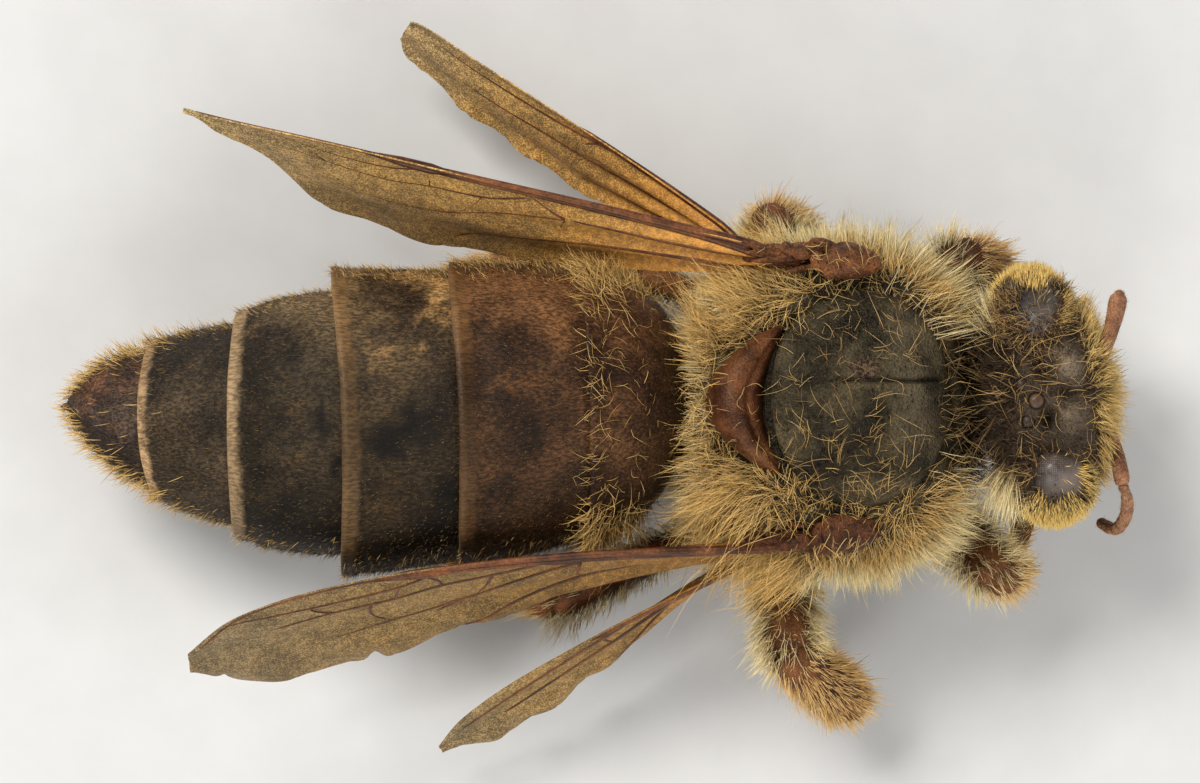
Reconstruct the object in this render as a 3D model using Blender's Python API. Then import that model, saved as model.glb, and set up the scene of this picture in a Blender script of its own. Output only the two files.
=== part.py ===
"""A honey bee queen, life size, standing on its six feet with its wings swept back.

Metres, +Z up, head towards +X, the bee's left towards +Y. The origin is on the floor,
under the middle of the whole bee's box. Body pieces are drawn in millimetres and laid
down in metres; every solid reaches out to the tips of the coat that covers it.
"""

import math

import bmesh
import bpy
from mathutils import Matrix, Vector

MM = 0.001
CUT = 0.05  # width of the thin cuts that part one piece from the next, in millimetres
LEFT, RIGHT = 1, -1
SIDES = {LEFT: "left", RIGHT: "right"}

# Thorax: its middle plane, then x, half width, top and bottom of each station
THORAX_Y = -0.22
SCUTUM_TOP = 5.68
THORAX_STATIONS = (
    (1.42, 0.75, 3.60, 2.45),
    (1.56, 1.45, 4.20, 2.00),
    (1.88, 2.20, 4.85, 1.72),
    (2.45, 2.66, 5.35, 1.50),
    (3.15, 2.82, 5.62, 1.38),
    (3.80, 2.86, SCUTUM_TOP, 1.35),
    (4.45, 2.78, 5.62, 1.42),
    (5.00, 2.48, 5.38, 1.60),
    (5.38, 1.98, 4.95, 1.88),
    (5.62, 1.40, 4.45, 2.25),
    (5.80, 0.80, 3.95, 2.70),
)
THORAX_SIDES = 24
# The cuts in front of and behind the middle ring: a point, and the way from the middle out
PRONOTUM_CUT = (Vector((5.02, 0, 3.6)), Vector((1, 0, -0.22)).normalized())
PROPODEUM_CUT = (Vector((2.06, 0, 3.6)), Vector((-1, 0, -0.16)).normalized())

# Scutellum: a low cushion behind the back plate
SCUTELLUM_CENTRE = Vector((2.12, -0.05, 4.90))
SCUTELLUM_RADII = Vector((0.62, 1.15, 0.50))

# Tegulae: the little shields over the wing roots
TEGULA_PLACES = {LEFT: Vector((3.80, 2.10, 4.80)), RIGHT: Vector((3.80, -2.26, 4.80))}
TEGULA_RADII = Vector((0.56, 0.42, 0.32))
TEGULA_TILT = 42.0

# Abdomen: x, half width, half height of each station of each of the six rings
ABDOMEN_RINGS = (
    ((1.36, 0.42, 0.40), (1.24, 1.02, 0.94), (0.98, 1.62, 1.46), (0.54, 2.02, 1.84), (0.0, 2.24, 2.02)),
    ((-0.05, 2.18, 1.98), (-0.80, 2.32, 2.08), (-1.50, 2.38, 2.12), (-2.00, 2.43, 2.15)),
    ((-2.05, 2.37, 2.10), (-2.80, 2.40, 2.10), (-3.40, 2.43, 2.10), (-3.84, 2.47, 2.12)),
    ((-3.89, 2.20, 1.94), (-4.60, 2.09, 1.84), (-5.20, 1.98, 1.72), (-5.70, 1.84, 1.58)),
    ((-5.75, 1.70, 1.46), (-6.30, 1.56, 1.33), (-6.80, 1.42, 1.20), (-7.14, 1.30, 1.10)),
    ((-7.19, 1.20, 1.00), (-7.60, 1.02, 0.84), (-7.94, 0.72, 0.60), (-8.18, 0.38, 0.34), (-8.28, 0.14, 0.14)),
)
ABDOMEN_SIDES = 24
# The abdomen's middle line and the lean of its rings (degrees, back edge forwards), by x
ABDOMEN_LINE = (
    (1.40, -0.12, 3.00, 0.0),
    (0.00, -0.17, 3.05, 6.0),
    (-2.00, -0.35, 3.10, 8.0),
    (-3.90, -0.45, 3.00, 6.0),
    (-5.70, -0.50, 2.76, -5.0),
    (-7.15, -0.40, 2.46, -9.0),
    (-8.30, -0.20, 2.22, -9.0),
)

# Head: turned a little to the bee's left; stations from crown to mouth in its own frame
HEAD_CENTRE = Vector((6.86, -0.04, 3.12))
HEAD_YAW = 7.5
HEAD_SIDES = 22
# height, half width, front and back of each station
HEAD_STATIONS = (
    (1.82, 0.45, 0.25, -0.42),
    (1.68, 1.00, 0.52, -0.66),
    (1.38, 1.46, 0.78, -0.84),
    (0.90, 1.76, 0.98, -0.94),
    (0.30, 1.84, 1.08, -0.96),
    (-0.30, 1.74, 1.12, -0.90),
    (-0.85, 1.46, 1.12, -0.76),
    (-1.30, 1.08, 1.06, -0.56),
    (-1.62, 0.76, 0.94, -0.34),
    (-1.76, 0.50, 0.80, -0.10),
)
EYE_CENTRE = Vector((0.12, 1.42, 0.36))
EYE_RADII = Vector((0.62, 0.56, 1.24))
EYE_SPLAY = 9.0
OCELLUS_RADIUS = 0.17
OCELLI = {"middle": Vector((-0.06, 0.0, 1.84)), "left": Vector((-0.34, 0.27, 1.76)), "right": Vector((-0.34, -0.27, 1.76))}

# Mouth, in the head's own frame
MANDIBLE_LINE = (Vector((0.50, 0.66, -1.52)), Vector((0.78, 0.50, -1.90)), Vector((0.92, 0.29, -2.14)))
MANDIBLE_RADII = (0.30, 0.27, 0.22)
PROBOSCIS_LINE = (Vector((0.20, 0.0, -1.74)), Vector((0.05, 0.0, -2.08)), Vector((-0.55, 0.0, -2.22)))
PROBOSCIS_RADII = (0.28, 0.30, 0.22)

# Antennae: socket and elbow, then the flagellum's route, all in the bee's frame
FEELER_RADIUS = 0.25
FEELER_SIDES = 9
SCAPES = {
    LEFT: (Vector((7.66, 0.46, 3.26)), Vector((7.94, 1.50, 3.80))),
    RIGHT: (Vector((7.74, -0.34, 3.26)), Vector((8.00, -1.42, 3.74))),
}
FLAGELLA = {
    LEFT: ((7.94, 1.50, 3.80), (8.00, 1.42, 3.10), (8.00, 1.20, 2.45), (7.97, 1.00, 1.95), (7.90, 0.90, 1.55)),
    RIGHT: ((8.00, -1.42, 3.74), (8.10, -1.62, 3.30), (8.12, -1.92, 2.75), (8.00, -2.12, 2.25), (7.80, -2.02, 1.80)),
}

# Legs: coxa, trochanter, knee, ankle, end of the first tarsal joint, claws; the bee's frame
LEGS = {
    ("fore", LEFT): ((5.00, 0.65, 2.00), (5.02, 1.22, 1.60), (5.62, 2.12, 2.84), (6.20, 1.94, 1.40), (6.54, 1.58, 0.44), (7.10, 0.88, 0.22)),
    ("fore", RIGHT): ((5.00, -1.10, 2.00), (5.24, -1.70, 1.66), (6.20, -2.88, 2.64), (6.42, -2.72, 1.12), (6.78, -1.92, 0.44), (7.06, -0.94, 0.22)),
    ("mid", LEFT): ((3.40, 0.85, 1.70), (3.00, 1.52, 1.50), (2.64, 2.60, 2.95), (3.04, 2.40, 0.98), (3.02, 1.40, 0.40), (2.88, 0.44, 0.22)),
    ("mid", RIGHT): ((3.40, -1.35, 1.70), (2.80, -2.16, 1.70), (2.94, -4.04, 3.00), (4.00, -4.90, 1.24), (3.44, -4.10, 0.42), (2.70, -3.20, 0.22)),
    ("hind", LEFT): ((2.30, 0.75, 1.80), (1.72, 1.50, 1.52), (-0.52, 2.14, 1.72), (-2.60, 1.66, 0.84), (-3.95, 1.24, 0.42), (-4.80, 0.80, 0.22)),
    ("hind", RIGHT): ((2.30, -1.20, 1.80), (1.66, -2.10, 1.60), (-0.72, -3.34, 1.84), (-2.55, -2.24, 0.86), (-3.95, -1.80, 0.42), (-4.85, -1.36, 0.22)),
}
LEG_PARTS = ("coxa", "femur", "tibia", "basitarsus", "tarsus")
# radius at the start, the middle and the end of each part
LEG_RADII = {
    "fore": ((0.42, 0.44, 0.36), (0.36, 0.54, 0.56), (0.56, 0.46, 0.34), (0.31, 0.30, 0.26), (0.26, 0.25, 0.25)),
    "mid": ((0.44, 0.46, 0.38), (0.38, 0.56, 0.58), (0.58, 0.58, 0.48), (0.34, 0.32, 0.27), (0.26, 0.25, 0.25)),
    "hind": ((0.46, 0.48, 0.40), (0.38, 0.46, 0.40), (0.38, 0.44, 0.40), (0.34, 0.36, 0.28), (0.26, 0.25, 0.25)),
}
LEG_SIDES = 9
CAP_ANGLES = (40.0, 75.0)
FOOT_LEVEL = 0.0

# Wings: each is drawn flat, as distance from the root against distance behind the front edge
WING_THICKNESS = 0.5
FORE_LENGTH, HIND_LENGTH = 9.4, 6.1
# share of the length, front edge, back edge
FORE_PLAN = (
    (0.00, 0.00, 0.42),
    (0.10, -0.02, 0.86),
    (0.20, -0.03, 1.30),
    (0.32, -0.04, 1.78),
    (0.45, -0.02, 2.28),
    (0.57, 0.02, 2.66),
    (0.68, 0.10, 2.94),
    (0.78, 0.24, 3.02),
    (0.87, 0.48, 2.92),
    (0.94, 0.84, 2.64),
    (1.00, 1.50, 2.10),
)
HIND_PLAN = (
    (0.00, 0.00, 0.34),
    (0.14, -0.02, 0.86),
    (0.28, -0.02, 1.36),
    (0.42, 0.02, 1.72),
    (0.56, 0.10, 1.74),
    (0.70, 0.18, 1.76),
    (0.83, 0.34, 1.66),
    (0.93, 0.58, 1.42),
    (1.00, 0.92, 1.18),
)
CHORD_STEPS = 3
# root, heading (degrees from straight back, outwards), dip (degrees down), how steeply the blade
# hangs at its root, middle and tip (degrees; past 90 the back edge is outboard), bow outwards at the tip
WINGS = {
    ("fore", LEFT): (Vector((2.86, 2.16, 4.74)), 11.8, 1.0, (62.0, 66.0, 84.0), 0.16),
    ("fore", RIGHT): (Vector((3.10, -2.28, 4.74)), 0.6, -0.5, (98.0, 109.0, 119.0), 0.85),
    ("hind", LEFT): (Vector((2.22, 2.24, 4.02)), 34.8, 16.0, (62.0, 64.0, 74.0), 0.0),
    ("hind", RIGHT): (Vector((2.42, -2.42, 3.98)), 27.6, 18.0, (80.0, 103.0, 119.0), 0.0),
}

COLOURS = {
    "cuticle_black": ((0.030, 0.026, 0.020, 1.0), 0.45),
    "cuticle_brown": ((0.110, 0.048, 0.022, 1.0), 0.40),
    "banded_brown": ((0.075, 0.044, 0.024, 1.0), 0.40),
    "golden_coat": ((0.560, 0.400, 0.170, 1.0), 0.80),
    "eye": ((0.045, 0.040, 0.042, 1.0), 0.25),
    "feeler": ((0.250, 0.110, 0.070, 1.0), 0.50),
    "wing": ((0.420, 0.270, 0.100, 1.0), 0.35),
}


# ---------------------------------------------------------------- small tools
def clear_scene():
    """Removes whatever the scene starts with."""
    for old in list(bpy.data.objects):
        bpy.data.objects.remove(old)


def material(name):
    """The named material, made at its first use."""
    made = bpy.data.materials.get(name)
    if made is None:
        colour, roughness = COLOURS[name]
        made = bpy.data.materials.new(name)
        made.use_nodes = True
        shader = made.node_tree.nodes["Principled BSDF"]
        shader.inputs["Base Color"].default_value = colour
        shader.inputs["Roughness"].default_value = roughness
        shader.inputs["Metallic"].default_value = 0.0
    return made


def make_object(name, bm, finish):
    """Turns a bmesh drawn in millimetres into an object in metres with its normals outwards."""
    bmesh.ops.scale(bm, vec=(MM, MM, MM), verts=bm.verts)
    bmesh.ops.recalc_face_normals(bm, faces=bm.faces)
    mesh = bpy.data.meshes.new(name)
    bm.to_mesh(mesh)
    bm.free()
    mesh.shade_smooth()
    mesh.set_sharp_from_angle(angle=math.radians(50))
    made = bpy.data.objects.new(name, mesh)
    made.data.materials.append(material(finish))
    bpy.context.collection.objects.link(made)
    return made


def ellipse(centre, across, up, half_width, rise, drop, sides, squareness=2.0):
    """Points round a closed section, its upper and lower halves of different height."""
    points = []
    for k in range(sides):
        turn = 2 * math.pi * (k + 0.5) / sides
        c, s = math.cos(turn), math.sin(turn)
        c = math.copysign(abs(c) ** (2 / squareness), c)
        s = math.copysign(abs(s) ** (2 / squareness), s)
        points.append(centre + across * (half_width * c) + up * ((rise if s > 0 else drop) * s))
    return points


def loft(rings):
    """A closed bmesh through rings of points, with flat ends."""
    bm = bmesh.new()
    loops = []
    for points in rings:
        verts = [bm.verts.new(p) for p in points]
        loops.append([bm.edges.new((a, b)) for a, b in zip(verts, verts[1:] + verts[:1])])
    for first, second in zip(loops, loops[1:]):
        bmesh.ops.bridge_loops(bm, edges=first + second)
    for end in (loops[0], loops[-1]):
        bmesh.ops.contextual_create(bm, geom=end)
    bmesh.ops.recalc_face_normals(bm, faces=bm.faces)
    return bm


def slice_away(bm, point, normal):
    """Cuts off what lies on the side that normal points to, and closes the cut flat."""
    geometry = bm.verts[:] + bm.edges[:] + bm.faces[:]
    bmesh.ops.bisect_plane(bm, geom=geometry, dist=1e-6, plane_co=point, plane_no=normal, clear_outer=True)
    rim = [edge for edge in bm.edges if edge.is_boundary]
    if rim:
        bmesh.ops.holes_fill(bm, edges=rim)


def ball(centre, radii, turn=None, rings=10, segments=18):
    """A closed ellipsoid, turned by a matrix about its centre."""
    bm = bmesh.new()
    place = Matrix.Translation(centre) @ (turn or Matrix.Identity(4)) @ Matrix.Diagonal((*radii, 1.0))
    bmesh.ops.create_uvsphere(bm, u_segments=segments, v_segments=rings, radius=1.0, matrix=place)
    return bm


def hide(helper):
    """Keeps a helper out of the finished bee."""
    helper.hide_render = True
    helper.display_type = "WIRE"


def carve(target, cutter, grow):
    """Takes the cutter's shape, grown about its own middle by a share, out of the target."""
    knife = cutter.copy()
    knife.name = f"knife_{target.name}_{cutter.name}"[:60]
    knife.data = cutter.data.copy()
    middle = sum((Vector(corner) for corner in cutter.bound_box), Vector()) / 8
    knife.data.transform(Matrix.Translation(middle) @ Matrix.Scale(1 + grow, 4) @ Matrix.Translation(-middle))
    hide(knife)
    bpy.context.collection.objects.link(knife)
    cut = target.modifiers.new(f"clear_of_{cutter.name}"[:60], "BOOLEAN")
    cut.object = knife
    cut.operation = "DIFFERENCE"
    cut.solver = "EXACT"


def interpolate(table, x):
    """The row of a table ordered by falling x, read between its rows."""
    for upper, lower in zip(table, table[1:]):
        if x >= lower[0]:
            share = (upper[0] - x) / (upper[0] - lower[0])
            share = min(max(share, 0.0), 1.0)
            return [a + (b - a) * share for a, b in zip(upper[1:], lower[1:])]
    return list(table[-1][1:])


def quadratic(values, share):
    """The value between three evenly spread ones, along the curve through them."""
    first, middle, last = values
    return first * (1 - share) * (1 - 2 * share) + 4 * middle * share * (1 - share) + last * share * (2 * share - 1)


# ---------------------------------------------------------------- trunk
def thorax_rings():
    """The whole thorax's sections, from its waist to its neck."""
    rings = []
    for x, half_width, top, bottom in THORAX_STATIONS:
        middle = (top + bottom) / 2 + 0.1 * (top - bottom) / 4
        centre = Vector((x, THORAX_Y, middle))
        rings.append(ellipse(centre, Vector((0, 1, 0)), Vector((0, 0, 1)), half_width, top - middle, middle - bottom, THORAX_SIDES, 2.15))
    return rings


def make_thorax():
    """Neck collar, middle of the thorax and the part behind it, cut from one form; then the scutellum.

    The uncut form stays as a hidden helper, to shape what lies against the thorax.
    """
    middle = loft(thorax_rings())
    ends = []
    for point, outwards in (PRONOTUM_CUT, PROPODEUM_CUT):
        ends.append(loft(thorax_rings()))
        slice_away(ends[-1], point + outwards * CUT / 2, -outwards)
        slice_away(middle, point - outwards * CUT / 2, outwards)
    collar, behind = ends
    made = {
        "whole": make_object("thorax_whole", loft(thorax_rings()), "cuticle_black"),
        "pronotum": make_object("pronotum", collar, "golden_coat"),
        "mesothorax": make_object("mesothorax", middle, "cuticle_black"),
        "propodeum": make_object("propodeum", behind, "golden_coat"),
    }
    hide(made["whole"])
    cushion = ball(SCUTELLUM_CENTRE, SCUTELLUM_RADII, rings=9, segments=20)
    made["scutellum"] = make_object("scutellum", cushion, "cuticle_brown")
    for name in ("mesothorax", "propodeum"):
        carve(made[name], made["scutellum"], 2 * CUT)
    return made


def make_tegula(side, thorax):
    """The shield over one pair of wing roots, resting on the thorax wall."""
    turn = Matrix.Rotation(math.radians(-side * TEGULA_TILT), 4, "X")
    form = ball(TEGULA_PLACES[side], TEGULA_RADII, turn, rings=8, segments=14)
    shield = make_object(f"tegula_{SIDES[side]}", form, "cuticle_brown")
    carve(thorax["mesothorax"], shield, 2 * CUT)
    return shield


def make_abdomen():
    """Six rings, each a little wider at its back edge than the front of the next."""
    made = []
    for number, stations in enumerate(ABDOMEN_RINGS, start=1):
        rings = []
        for x, half_width, half_height in stations:
            y, z, lean = interpolate(ABDOMEN_LINE, x)
            up = Matrix.Rotation(math.radians(lean), 3, "Y") @ Vector((0, 0, 1))
            rings.append(ellipse(Vector((x, y, z)), Vector((0, 1, 0)), up, half_width, half_height, half_height, ABDOMEN_SIDES, 2.1))
        made.append(make_object(f"abdomen_{number}", loft(rings), "banded_brown"))
    return made


# ---------------------------------------------------------------- head
def head_frame():
    """Carries points of the head's own frame (x to the face, z to the crown) into the bee's."""
    return Matrix.Translation(HEAD_CENTRE) @ Matrix.Rotation(math.radians(HEAD_YAW), 4, "Z")


def tube(route, radii, sides, turn_in=Matrix.Identity(4)):
    """A closed round tube along a few points, each with its own radius, and rounded ends."""
    points = [turn_in @ Vector(p) for p in route]
    steps = [(b - a).normalized() for a, b in zip(points, points[1:])]
    along = [steps[0]] + [(a + b).normalized() for a, b in zip(steps, steps[1:])] + [steps[-1]]
    rings = [rounded(points[0], -steps[0], steps[0], radii[0], sides, angle) for angle in reversed(CAP_ANGLES)]
    rings += [section(p, d, r, sides) for p, d, r in zip(points, along, radii)]
    rings += [rounded(points[-1], steps[-1], steps[-1], radii[-1], sides, angle) for angle in CAP_ANGLES]
    return loft(rings)


def section(centre, direction, radius, sides):
    """A round section across a direction."""
    reference = Vector((0, 0, 1)) if abs(direction.z) < 0.9 else Vector((1, 0, 0))
    across = direction.cross(reference).normalized()
    return ellipse(centre, across, direction.cross(across), radius, radius, radius, sides)


def rounded(end, outwards, direction, radius, sides, angle):
    """One section of a tube's domed end, at an angle from its rim towards its tip."""
    turn = math.radians(angle)
    return section(end + outwards * (radius * math.sin(turn)), direction, radius * math.cos(turn), sides)


def make_head():
    """The head with its two compound eyes, three ocelli, jaws, tongue and antennae."""
    frame = head_frame()
    across = frame.to_3x3() @ Vector((0, 1, 0))
    ahead = frame.to_3x3() @ Vector((1, 0, 0))
    rings = []
    for height, half_width, front, back in HEAD_STATIONS:
        middle = (front + back) / 2
        centre = frame @ Vector((middle, 0, height))
        rings.append(ellipse(centre, across, ahead, half_width, front - middle, middle - back, HEAD_SIDES, 2.2))
    head = make_object("head", loft(rings), "cuticle_black")
    for side in (LEFT, RIGHT):
        centre = frame @ Vector((EYE_CENTRE.x, side * EYE_CENTRE.y, EYE_CENTRE.z))
        turn = frame.to_3x3().to_4x4() @ Matrix.Rotation(math.radians(side * EYE_SPLAY), 4, "X")
        eye = make_object(f"compound_eye_{SIDES[side]}", ball(centre, EYE_RADII, turn, rings=11, segments=16), "eye")
        carve(head, eye, CUT)
        jaw_line = [Vector((p.x, side * p.y, p.z)) for p in MANDIBLE_LINE]
        jaw = make_object(f"mandible_{SIDES[side]}", tube(jaw_line, MANDIBLE_RADII, 10, frame), "cuticle_brown")
        carve(head, jaw, 3 * CUT)
    for place, centre in OCELLI.items():
        radii = Vector((OCELLUS_RADIUS,) * 3)
        ocellus = make_object(f"ocellus_{place}", ball(frame @ centre, radii, rings=6, segments=10), "eye")
        carve(head, ocellus, 4 * CUT)
    tongue = make_object("proboscis", tube(PROBOSCIS_LINE, PROBOSCIS_RADII, 10, frame), "cuticle_brown")
    carve(head, tongue, 3 * CUT)
    return head


def make_antenna(side, head):
    """The stiff scape from its socket to the elbow, then the bent flagellum, parted at the elbow."""
    socket, elbow = SCAPES[side]
    route = [Vector(p) for p in FLAGELLA[side]]
    seam = ((elbow - socket).normalized() + (route[1] - route[0]).normalized()).normalized()
    stalk = tube((socket, elbow), (FEELER_RADIUS, FEELER_RADIUS), FEELER_SIDES)
    slice_away(stalk, elbow - seam * CUT / 2, seam)
    scape = make_object(f"scape_{SIDES[side]}", stalk, "feeler")
    carve(head, scape, 2 * CUT)
    whip = tube(route, (FEELER_RADIUS,) * len(route), FEELER_SIDES)
    slice_away(whip, elbow + seam * CUT / 2, -seam)
    make_object(f"flagellum_{SIDES[side]}", whip, "feeler")


# ---------------------------------------------------------------- legs
def make_leg(pair, side, body):
    """Five parts from hip to claws, mitred at each joint, the last one flat where it stands."""
    joints = [Vector(p) for p in LEGS[pair, side]]
    steps = [(b - a).normalized() for a, b in zip(joints, joints[1:])]
    for k, part in enumerate(LEG_PARTS):
        start, end = joints[k], joints[k + 1]
        route = (start, (start + end) / 2, end)
        limb = tube(route, LEG_RADII[pair][k], LEG_SIDES)
        if k > 0:
            seam = (steps[k - 1] + steps[k]).normalized()
            slice_away(limb, start + seam * CUT / 2, -seam)
        if k < len(LEG_PARTS) - 1:
            seam = (steps[k] + steps[k + 1]).normalized()
            slice_away(limb, end - seam * CUT / 2, seam)
        slice_away(limb, Vector((0, 0, FOOT_LEVEL)), Vector((0, 0, -1)))
        finish = "golden_coat" if part in ("femur", "tibia") else "cuticle_brown"
        made = make_object(f"{pair}_{part}_{SIDES[side]}", limb, finish)
        if part in ("coxa", "femur"):
            for piece in body:
                carve(made, piece, CUT / 2)


# ---------------------------------------------------------------- wings
def wing_point(pose, length, side, distance, behind):
    """A place on the flat wing, carried to where the wing hangs."""
    root, heading, dip, hang, bow = pose
    share = distance / length
    along = Vector((-math.cos(math.radians(heading)), side * math.sin(math.radians(heading)), 0))
    outwards = Vector((math.sin(math.radians(heading)), side * math.cos(math.radians(heading)), 0))
    steep = math.radians(quadratic(hang, share))
    chord = outwards * -math.cos(steep) + Vector((0, 0, -math.sin(steep)))
    line = along * math.cos(math.radians(dip)) + Vector((0, 0, -math.sin(math.radians(dip))))
    return root + line * distance + outwards * (bow * share ** 2) + chord * behind


def make_wing(pair, side, body):
    """One wing as a thin curved blade, thickened both ways and parted from the body."""
    plan, length = (FORE_PLAN, FORE_LENGTH) if pair == "fore" else (HIND_PLAN, HIND_LENGTH)
    bm = bmesh.new()
    rows = []
    for share, front, back in plan:
        steps = [front + (back - front) * k / CHORD_STEPS for k in range(CHORD_STEPS + 1)]
        rows.append([bm.verts.new(wing_point(WINGS[pair, side], length, side, share * length, v)) for v in steps])
    for row, following in zip(rows, rows[1:]):
        for k in range(CHORD_STEPS):
            bm.faces.new((row[k], row[k + 1], following[k + 1], following[k]))
    wing = make_object(f"{pair}wing_{SIDES[side]}", bm, "wing")
    blade = wing.modifiers.new("blade", "SOLIDIFY")
    blade.thickness = WING_THICKNESS * MM
    blade.offset = 0.0
    for piece in body:
        carve(wing, piece, CUT)
    return wing


def centre_on_floor():
    """Slides the whole bee so that the middle of its box stands over the origin."""
    graph = bpy.context.evaluated_depsgraph_get()
    shown = [o for o in bpy.data.objects if not o.hide_render]
    corners = [Vector(c) for o in shown for c in o.evaluated_get(graph).bound_box]
    middle = [(min(c[k] for c in corners) + max(c[k] for c in corners)) / 2 for k in range(2)]
    floor = min(c.z for c in corners)
    for item in bpy.data.objects:
        item.data.transform(Matrix.Translation((-middle[0], -middle[1], -floor)))


def main():
    """Builds the bee from the trunk outwards."""
    clear_scene()
    thorax = make_thorax()
    shields = {side: make_tegula(side, thorax) for side in (LEFT, RIGHT)}
    rings = make_abdomen()
    head = make_head()
    for side in (LEFT, RIGHT):
        make_antenna(side, head)
        for pair in ("fore", "mid", "hind"):
            make_leg(pair, side, [thorax["whole"], *rings[:2]])
        upper = make_wing("fore", side, [thorax["whole"], shields[side], *rings[:3]])
        make_wing("hind", side, [thorax["whole"], upper, *rings[:1]])
    centre_on_floor()


main()
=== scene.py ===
"""A queen honey bee at life size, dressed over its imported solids. Sizes are in millimetres unless said."""

import logging
import math
from dataclasses import dataclass
from enum import Enum
from typing import Callable, Optional, Sequence

import bmesh
import bpy
import numpy as np
from mathutils import Matrix, Vector
from mathutils.kdtree import KDTree


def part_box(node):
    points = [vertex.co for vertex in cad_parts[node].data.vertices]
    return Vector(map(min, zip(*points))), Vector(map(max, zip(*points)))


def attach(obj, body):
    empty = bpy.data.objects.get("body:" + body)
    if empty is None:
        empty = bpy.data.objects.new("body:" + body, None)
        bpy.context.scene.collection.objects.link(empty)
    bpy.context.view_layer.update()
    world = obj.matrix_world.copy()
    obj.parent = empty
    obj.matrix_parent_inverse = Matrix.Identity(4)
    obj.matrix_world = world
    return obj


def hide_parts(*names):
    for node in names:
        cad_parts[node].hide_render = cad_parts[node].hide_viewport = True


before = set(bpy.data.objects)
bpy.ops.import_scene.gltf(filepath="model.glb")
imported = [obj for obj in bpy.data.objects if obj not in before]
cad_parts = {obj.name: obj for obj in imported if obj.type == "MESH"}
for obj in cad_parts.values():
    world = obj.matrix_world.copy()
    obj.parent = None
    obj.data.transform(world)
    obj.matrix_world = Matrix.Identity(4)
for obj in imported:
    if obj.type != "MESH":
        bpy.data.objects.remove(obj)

logging.basicConfig(level=logging.INFO, format="%(message)s")
LOG = logging.getLogger("bee")

MM = 0.001  # a millimetre in metres
PATCH = 0.003  # how wide a hair's patch is on the coat's UV map
ROOT_DEPTH = 0.02  # how deep a hair is rooted under the skin
LOWEST = 0.004  # how far off the floor the lowest hair and claw stay
CLUMP_REACH = 0.16  # how far a lock gathers hairs from
COVERS_MIDDLE = (3.80, -0.08, 4.80)  # midway between the wing covers, in the millimetres used here
SEED = 100  # the first of the numbers that fix the coat's chance
Array = np.ndarray
Piece = bpy.types.Object
Colour = tuple[float, float, float]


class Side(Enum):
    """The bee's own left and right."""

    LEFT = 1
    RIGHT = -1

    @property
    def word(self) -> str:
        """The side as it stands in a node's name."""
        return self.name.lower()


class Pair(Enum):
    """The three pairs of legs, and the two of wings."""

    FORE = "fore"
    MID = "mid"
    HIND = "hind"


# ---------------------------------------------------------------- numbers
def unit(vectors: Array) -> Array:
    """The same directions, each of length one."""
    size = np.linalg.norm(vectors, axis=-1, keepdims=True)
    return vectors / np.maximum(size, 1e-9)


def step(low: float, high: float, values: Array) -> Array:
    """A smooth rise from 0 at low to 1 at high."""
    t = np.clip((values - low) / (high - low), 0.0, 1.0)
    return t * t * (3.0 - 2.0 * t)


def bell(values: Array, middle: float, width: float) -> Array:
    """A smooth hump of height one."""
    return np.exp(-(((values - middle) / width) ** 2))


def curve_through(marks: Sequence[float], values: Array, at: Array) -> Array:
    """A smooth curve through a table.

    Args:
        marks: Where each value is reached, in rising order.
        values: One row for each mark.
        at: Where the curve is wanted.

    Returns:
        One row for each place in at.
    """
    marks = np.asarray(marks, float)
    values = np.asarray(values, float)
    slopes = np.gradient(values, marks, axis=0)
    k = np.clip(np.searchsorted(marks, at, side="right") - 1, 0, len(marks) - 2)
    width = marks[k + 1] - marks[k]
    t = np.clip((at - marks[k]) / width, 0.0, 1.0)
    if values.ndim > 1:
        t, width = t[:, None], width[:, None]
    return (
        (2 * t**3 - 3 * t**2 + 1) * values[k]
        + (t**3 - 2 * t**2 + t) * width * slopes[k]
        + (3 * t**2 - 2 * t**3) * values[k + 1]
        + (t**3 - t**2) * width * slopes[k + 1]
    )


def ripple(places: Array, scale: float, seed: int) -> Array:
    """Smooth random bumps between -1 and 1.

    Args:
        places: Points, one a row.
        scale: About how many bumps there are in a millimetre.
        seed: Which bumps they are.

    Returns:
        One value for each point.
    """
    rng = np.random.default_rng(seed)
    total = np.zeros(len(places))
    for _ in range(7):
        wave = rng.normal(0.0, scale * 3.0, 3)
        total += np.sin(places @ wave + rng.uniform(0.0, 6.3))
    return total / 4.0


def bee_shift() -> Array:
    """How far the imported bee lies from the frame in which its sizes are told.

    Returns:
        The shift in millimetres, with no change of height.
    """
    middles = []
    for side in Side:
        low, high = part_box(f"tegula_{side.word}")
        middles.append((np.array(low) + np.array(high)) / (2 * MM))
    shift = np.mean(middles, axis=0) - np.array(COVERS_MIDDLE)
    return np.array((shift[0], shift[1], 0.0))


# ---------------------------------------------------------------- shaping
def clear_choice() -> None:
    """Goes to object mode with nothing selected."""
    if bpy.context.object and bpy.context.object.mode != "OBJECT":
        bpy.ops.object.mode_set(mode="OBJECT")
    bpy.ops.object.select_all(action="DESELECT")


def choose(piece: Piece) -> None:
    """Selects one piece alone and makes it active.

    Args:
        piece: The piece to select.
    """
    clear_choice()
    piece.select_set(True)
    bpy.context.view_layer.objects.active = piece


def points_of(piece: Piece) -> Array:
    """The piece's vertices, one a row.

    Args:
        piece: The piece.

    Returns:
        The vertices' places.
    """
    flat = np.empty(len(piece.data.vertices) * 3)
    piece.data.vertices.foreach_get("co", flat)
    return flat.reshape(-1, 3)


def normals_of(piece: Piece) -> Array:
    """The piece's vertex normals, one a row.

    Args:
        piece: The piece.

    Returns:
        The normals.
    """
    flat = np.empty(len(piece.data.vertices) * 3, np.float32)
    piece.data.vertex_normals.foreach_get("vector", flat)
    return flat.reshape(-1, 3).astype(float)


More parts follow.
